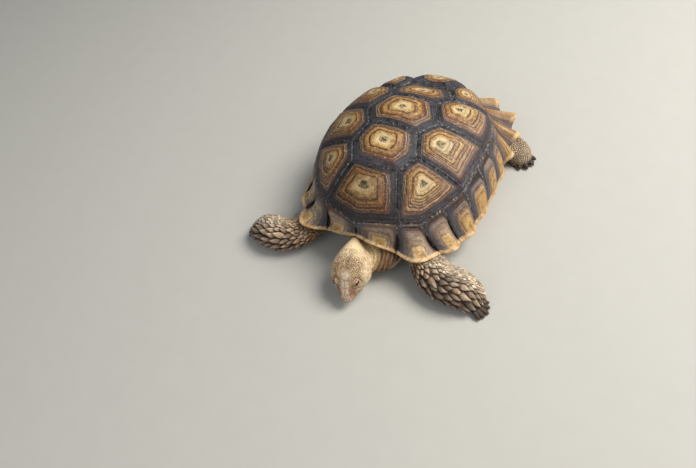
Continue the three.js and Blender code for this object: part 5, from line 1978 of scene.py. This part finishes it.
def claw_shape(root, heading, length, radius, rng):
    """A curved blunt claw: wider than high, arched on top, bending down to its tip."""
    rows, sides = 15, 20
    share = np.linspace(-0.35, 1, rows)
    bare = np.clip(share, 0, 1)
    side = unit(np.cross(heading, (0, 0, 1)))
    lift = np.cross(side, heading)
    sag = -0.16 * length * bare**2 + 0.10 * length * bare
    centres = root + heading * (share * length)[:, None] + lift * sag[:, None]
    girth = radius * np.where(share < 0, 1.0, (1 - bare**2.6) ** 0.75 * 0.94 + 0.06)[:, None]
    turn = np.linspace(0, 2 * np.pi, sides, endpoint=False)
    cos, sin = np.cos(turn), np.sin(turn)
    high = np.where(sin > 0, 0.78, 0.5) * sin
    grooves = 1 + 0.03 * np.cos(turn * 6 + rng.random() * 6)
    across, upward = girth * cos * grooves, girth * high * grooves
    rings = centres[:, None] + side * across[..., None] + lift * upward[..., None]
    rings[..., 2] = np.maximum(rings[..., 2], SOLE_HEIGHT)
    points, faces = closed_tube(rings)
    return points, faces, np.concatenate([np.repeat(bare, sides), [0, 1]])


def build_claws():
    """A fan of claws on each foot, the middle ones the longest."""
    rng = np.random.default_rng(SEED + 1)
    for name, (centre, reach, heading, claws) in FEET.items():
        shapes, along_values, tones = [], [], []
        middle = (claws["count"] - 1) / 2
        for index in range(claws["count"]):
            offset = (index / (claws["count"] - 1) - 0.5) * claws["spread"]
            place, aim = heading + offset, heading + offset * claws["fan"]
            forward, left = centre[0] + math.cos(place) * reach[0], centre[1] + math.sin(place) * reach[1]
            root = place_at(forward, left, claws["height"])
            direction = unit(place_at(math.cos(aim), math.sin(aim), -0.22))
            size = 1 - 0.12 * abs(index - middle) + 0.06 * rng.random()
            length, radius = claws["length"] * 0.97 * min(size, 1), claws["radius"] * size
            points, faces, along_claw = claw_shape(root, direction, length, radius, rng)
            shapes.append((points, faces))
            along_values.append(along_claw)
            tones.append(np.full(len(points), rng.random()))
        points, faces = joined(shapes)
        values = {"along": np.concatenate(along_values), "tone": np.concatenate(tones)}
        piece = make_object(f"claws_{name}", points, faces, CLAW, values)
        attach(piece, "root")


# ---------------------------------------------------------------- plastron

# Stations: forward, half width of the flat, half width at the edge, height of the edge, lift off the floor.
PLASTRON = [
    (172, 10, 20, 6, 5), (160, 26, 34, 5, 1), (140, 44, 54, 6, 0), (115, 66, 78, 8, 0),
    (96, 76, 90, 11, 0), (80, 82, 134, 22, 0), (66, 86, 150, 27, 0), (0, 88, 151, 27, 0),
    (-50, 86, 150, 27, 0), (-68, 82, 134, 23, 0), (-86, 76, 94, 12, 0), (-120, 64, 76, 8, 0),
    (-150, 44, 54, 6, 0), (-172, 24, 32, 5, 1),
]
PLASTRON_THICKNESS = 9
PLASTRON_SEAMS = [138, 84, 48, -62, -116]  # where the plates meet across the animal


def plastron_material():
    """Pale yellow horn with brown growth rings and dark lines where the plates meet."""
    s = Shader("plastron_horn", roughness=0.5, Specular_IOR_Level=0.4)
    ring, seam = s.value("ring"), s.value("seam")
    moved = s.plus(ring, s.span(s.noise(24, 3), 0.3, 0.7, -0.05, 0.05))
    shade = s.ramp(moved, [
        (0.0, srgb(206, 176, 122)), (0.3, srgb(224, 198, 146)), (0.5, srgb(200, 168, 116)),
        (0.62, srgb(150, 112, 74)), (0.72, srgb(206, 178, 128)), (0.85, srgb(170, 134, 92)),
        (1.0, srgb(214, 190, 144)),
    ])
    lines = s.math("SINE", s.times(moved, 120.0))
    shade = s.mix(s.span(lines, 0.3, 1.0, 0.0, 0.3), shade, srgb(138, 104, 70))
    shade = s.mix(s.times(seam, 0.8), shade, srgb(66, 48, 34))
    grain = s.noise(600, 4, 0.7)
    shade = s.mix(s.span(grain, 0.3, 0.7, 0.0, 0.3), shade, srgb(120, 92, 64), "MULTIPLY")
    shade = s.mix(s.span(s.noise(40, 4, 0.65), 0.5, 0.75, 0.0, 0.45), shade, srgb(104, 84, 62))
    height = s.plus(s.times(lines, 0.3), grain)
    return s.finish(shade, s.span(grain, 0.3, 0.7, 0.42, 0.62), height, distance=0.25, strength=0.6)


def build_plastron():
    """The horn of the under shell, with a groove where its plates meet and growth ridges inside them."""
    forward = np.linspace(PLASTRON[0][0], PLASTRON[-1][0], 190)
    table = np.array(PLASTRON, float)[::-1]
    flat, edge, rise, lift = (np.interp(forward, table[:, 0], column)[:, None] for column in table[:, 1:].T)
    half, wing = np.linspace(0, 1, 34), np.linspace(0, 1, 18)[1:]
    inner = np.minimum(flat, edge - 12) * (1, 0.5, 0.02)
    left = np.concatenate([half * flat, flat + (edge - flat) * wing, edge - 2, inner], 1)
    curve, limit = 1 - (1 - wing) ** 0.75, np.interp(wing, (0, 0.6, 1), (0, 0.4, 1))
    wing_high = np.minimum(lift + rise * curve, lift + rise * limit + 0.01)
    floor, ceiling = np.repeat(lift, len(half), 1), np.repeat(lift + PLASTRON_THICKNESS, 3, 1)
    high = np.concatenate([floor, wing_high, lift + rise + 4, ceiling], 1)
    ahead = np.repeat(forward[:, None], left.shape[1], 1)
    seams = np.array([forward.max() + 6] + PLASTRON_SEAMS + [forward.min() - 6])
    plate = np.searchsorted(-seams, -ahead, side="right") - 1
    start, end = seams[plate], seams[np.minimum(plate + 1, len(seams) - 1)]
    off_middle, half_length = np.abs(2 * (ahead - end) / (start - end) - 1), np.abs(start - end) / 2
    to_seam = half_length - off_middle * half_length
    across = left / np.maximum(edge, 1)
    ring = np.maximum(off_middle, np.abs(1 - 1.6 * np.clip(across, 0, 1)) * 0.95)
    groove = bump(np.minimum(to_seam, np.maximum(left, 0)), 0.9)
    points = place_at(ahead, left, high)
    ridge = 0.16 * np.cos(2 * np.pi * 9 * (ring + 0.02 * noise(points, 20, 71)))
    outside = np.arange(left.shape[1]) < len(half) + len(wing)
    points[..., 2] += (0.8 * groove - ridge + 0.16) * outside
    mirrored = points[:, ::-1] * (-1, 1, 1)
    mesh_points, faces = closed_tube(np.concatenate([points, mirrored], 1))

    def both(values):
        """Values for both halves and the two ends."""
        return np.concatenate([np.concatenate([values, values[:, ::-1]], 1).ravel(), [1, 1]])

    values = {"ring": both(ring), "seam": both(groove * outside)}
    piece = make_object("plastron_horn", mesh_points, faces, PLASTRON_HORN, values)
    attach(piece, "root")
    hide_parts("plastron")


# ---------------------------------------------------------------- camera, light and floor

CAMERA_PLACE = Vector((0.3348, -0.6095, 0.774))
CAMERA_HEADING = math.radians(39.4)  # from the animal's tail towards its right side
CAMERA_DIP = math.radians(51.9)
CAMERA_ROLL = math.radians(14.16)
CAMERA_LENS = 28.97


def build_camera():
    """The view from above the front left, looking back and down over the head and the shell."""
    camera = bpy.data.objects.new("camera", bpy.data.cameras.new("camera"))
    camera.data.lens = CAMERA_LENS
    camera.data.sensor_width = 36
    camera.data.clip_start = 0.01
    level = Vector((-math.sin(CAMERA_HEADING), math.cos(CAMERA_HEADING), 0))
    view = level * math.cos(CAMERA_DIP) - Vector((0, 0, math.sin(CAMERA_DIP)))
    turn = view.to_track_quat("-Z", "Y").to_matrix().to_4x4()
    camera.rotation_euler = (turn @ Matrix.Rotation(-CAMERA_ROLL, 4, "Z")).to_euler()
    camera.location = CAMERA_PLACE
    bpy.context.collection.objects.link(camera)
    bpy.context.scene.camera = camera


# Each lamp's name, place, width, power and colour.
LAMPS = [
    ("key", (1.3, 0.85, 2.1), 1.5, 80, (1.0, 0.97, 0.93)),
    ("fill", (-0.6, -2.2, 1.7), 2.2, 12, (0.95, 0.97, 1.0)),
    ("side", (1.9, -0.2, 1.5), 1.6, 10, (1.0, 0.97, 0.92)),
]
LIT = Vector((0, 0, 0.08))  # the place that every lamp points at
SKY = (0.86, 0.92, 1.0, 1)
SKY_STRENGTH = 0.25
FLOOR_REACH = 6.0


def build_studio():
    """A pale floor, a faint sky and three round lamps."""
    floor_mesh = bpy.data.meshes.new("floor")
    corners = [(x * FLOOR_REACH, y * FLOOR_REACH, 0) for x, y in ((-1, -1), (1, -1), (1, 1), (-1, 1))]
    floor_mesh.from_pydata(corners, [], [(0, 1, 2, 3)])
    floor = bpy.data.objects.new("floor", floor_mesh)
    bpy.context.collection.objects.link(floor)
    s = Shader("floor_pale", roughness=0.85)
    shade = s.ramp(s.noise(30, 2), [(0.3, srgb(188, 186, 178)), (0.7, srgb(190, 188, 180))])
    floor_mesh.materials.append(s.finish(shade))
    world = bpy.data.worlds.new("studio")
    world.use_nodes = True
    background = world.node_tree.nodes["Background"]
    background.inputs["Color"].default_value = SKY
    background.inputs["Strength"].default_value = SKY_STRENGTH
    bpy.context.scene.world = world
    for name, place, size, power, colour in LAMPS:
        lamp = bpy.data.lights.new(name, "AREA")
        lamp.shape = "DISK"
        lamp.size = size
        lamp.energy = power
        lamp.color = colour
        lamp_object = bpy.data.objects.new(name, lamp)
        lamp_object.location = place
        lamp_object.rotation_euler = (LIT - Vector(place)).to_track_quat("-Z", "Y").to_euler()
        bpy.context.collection.objects.link(lamp_object)
    bpy.context.scene.view_settings.view_transform = "Standard"


SCUTE = scute_material()
MARGINAL = marginal_material()
SKIN = skin_material()
SCALE = scale_material()
EYE_SURFACE = eye_material()
BEAK = beak_material()
CLAW = claw_material()
PLASTRON_HORN = plastron_material()
build_scutes()
build_marginals()
GROUND = Ground(build_skin().data)
build_scales(GROUND)
build_head_plates(GROUND)
build_eyes()
build_beak(GROUND)
build_claws()
build_plastron()
build_camera()
build_studio()
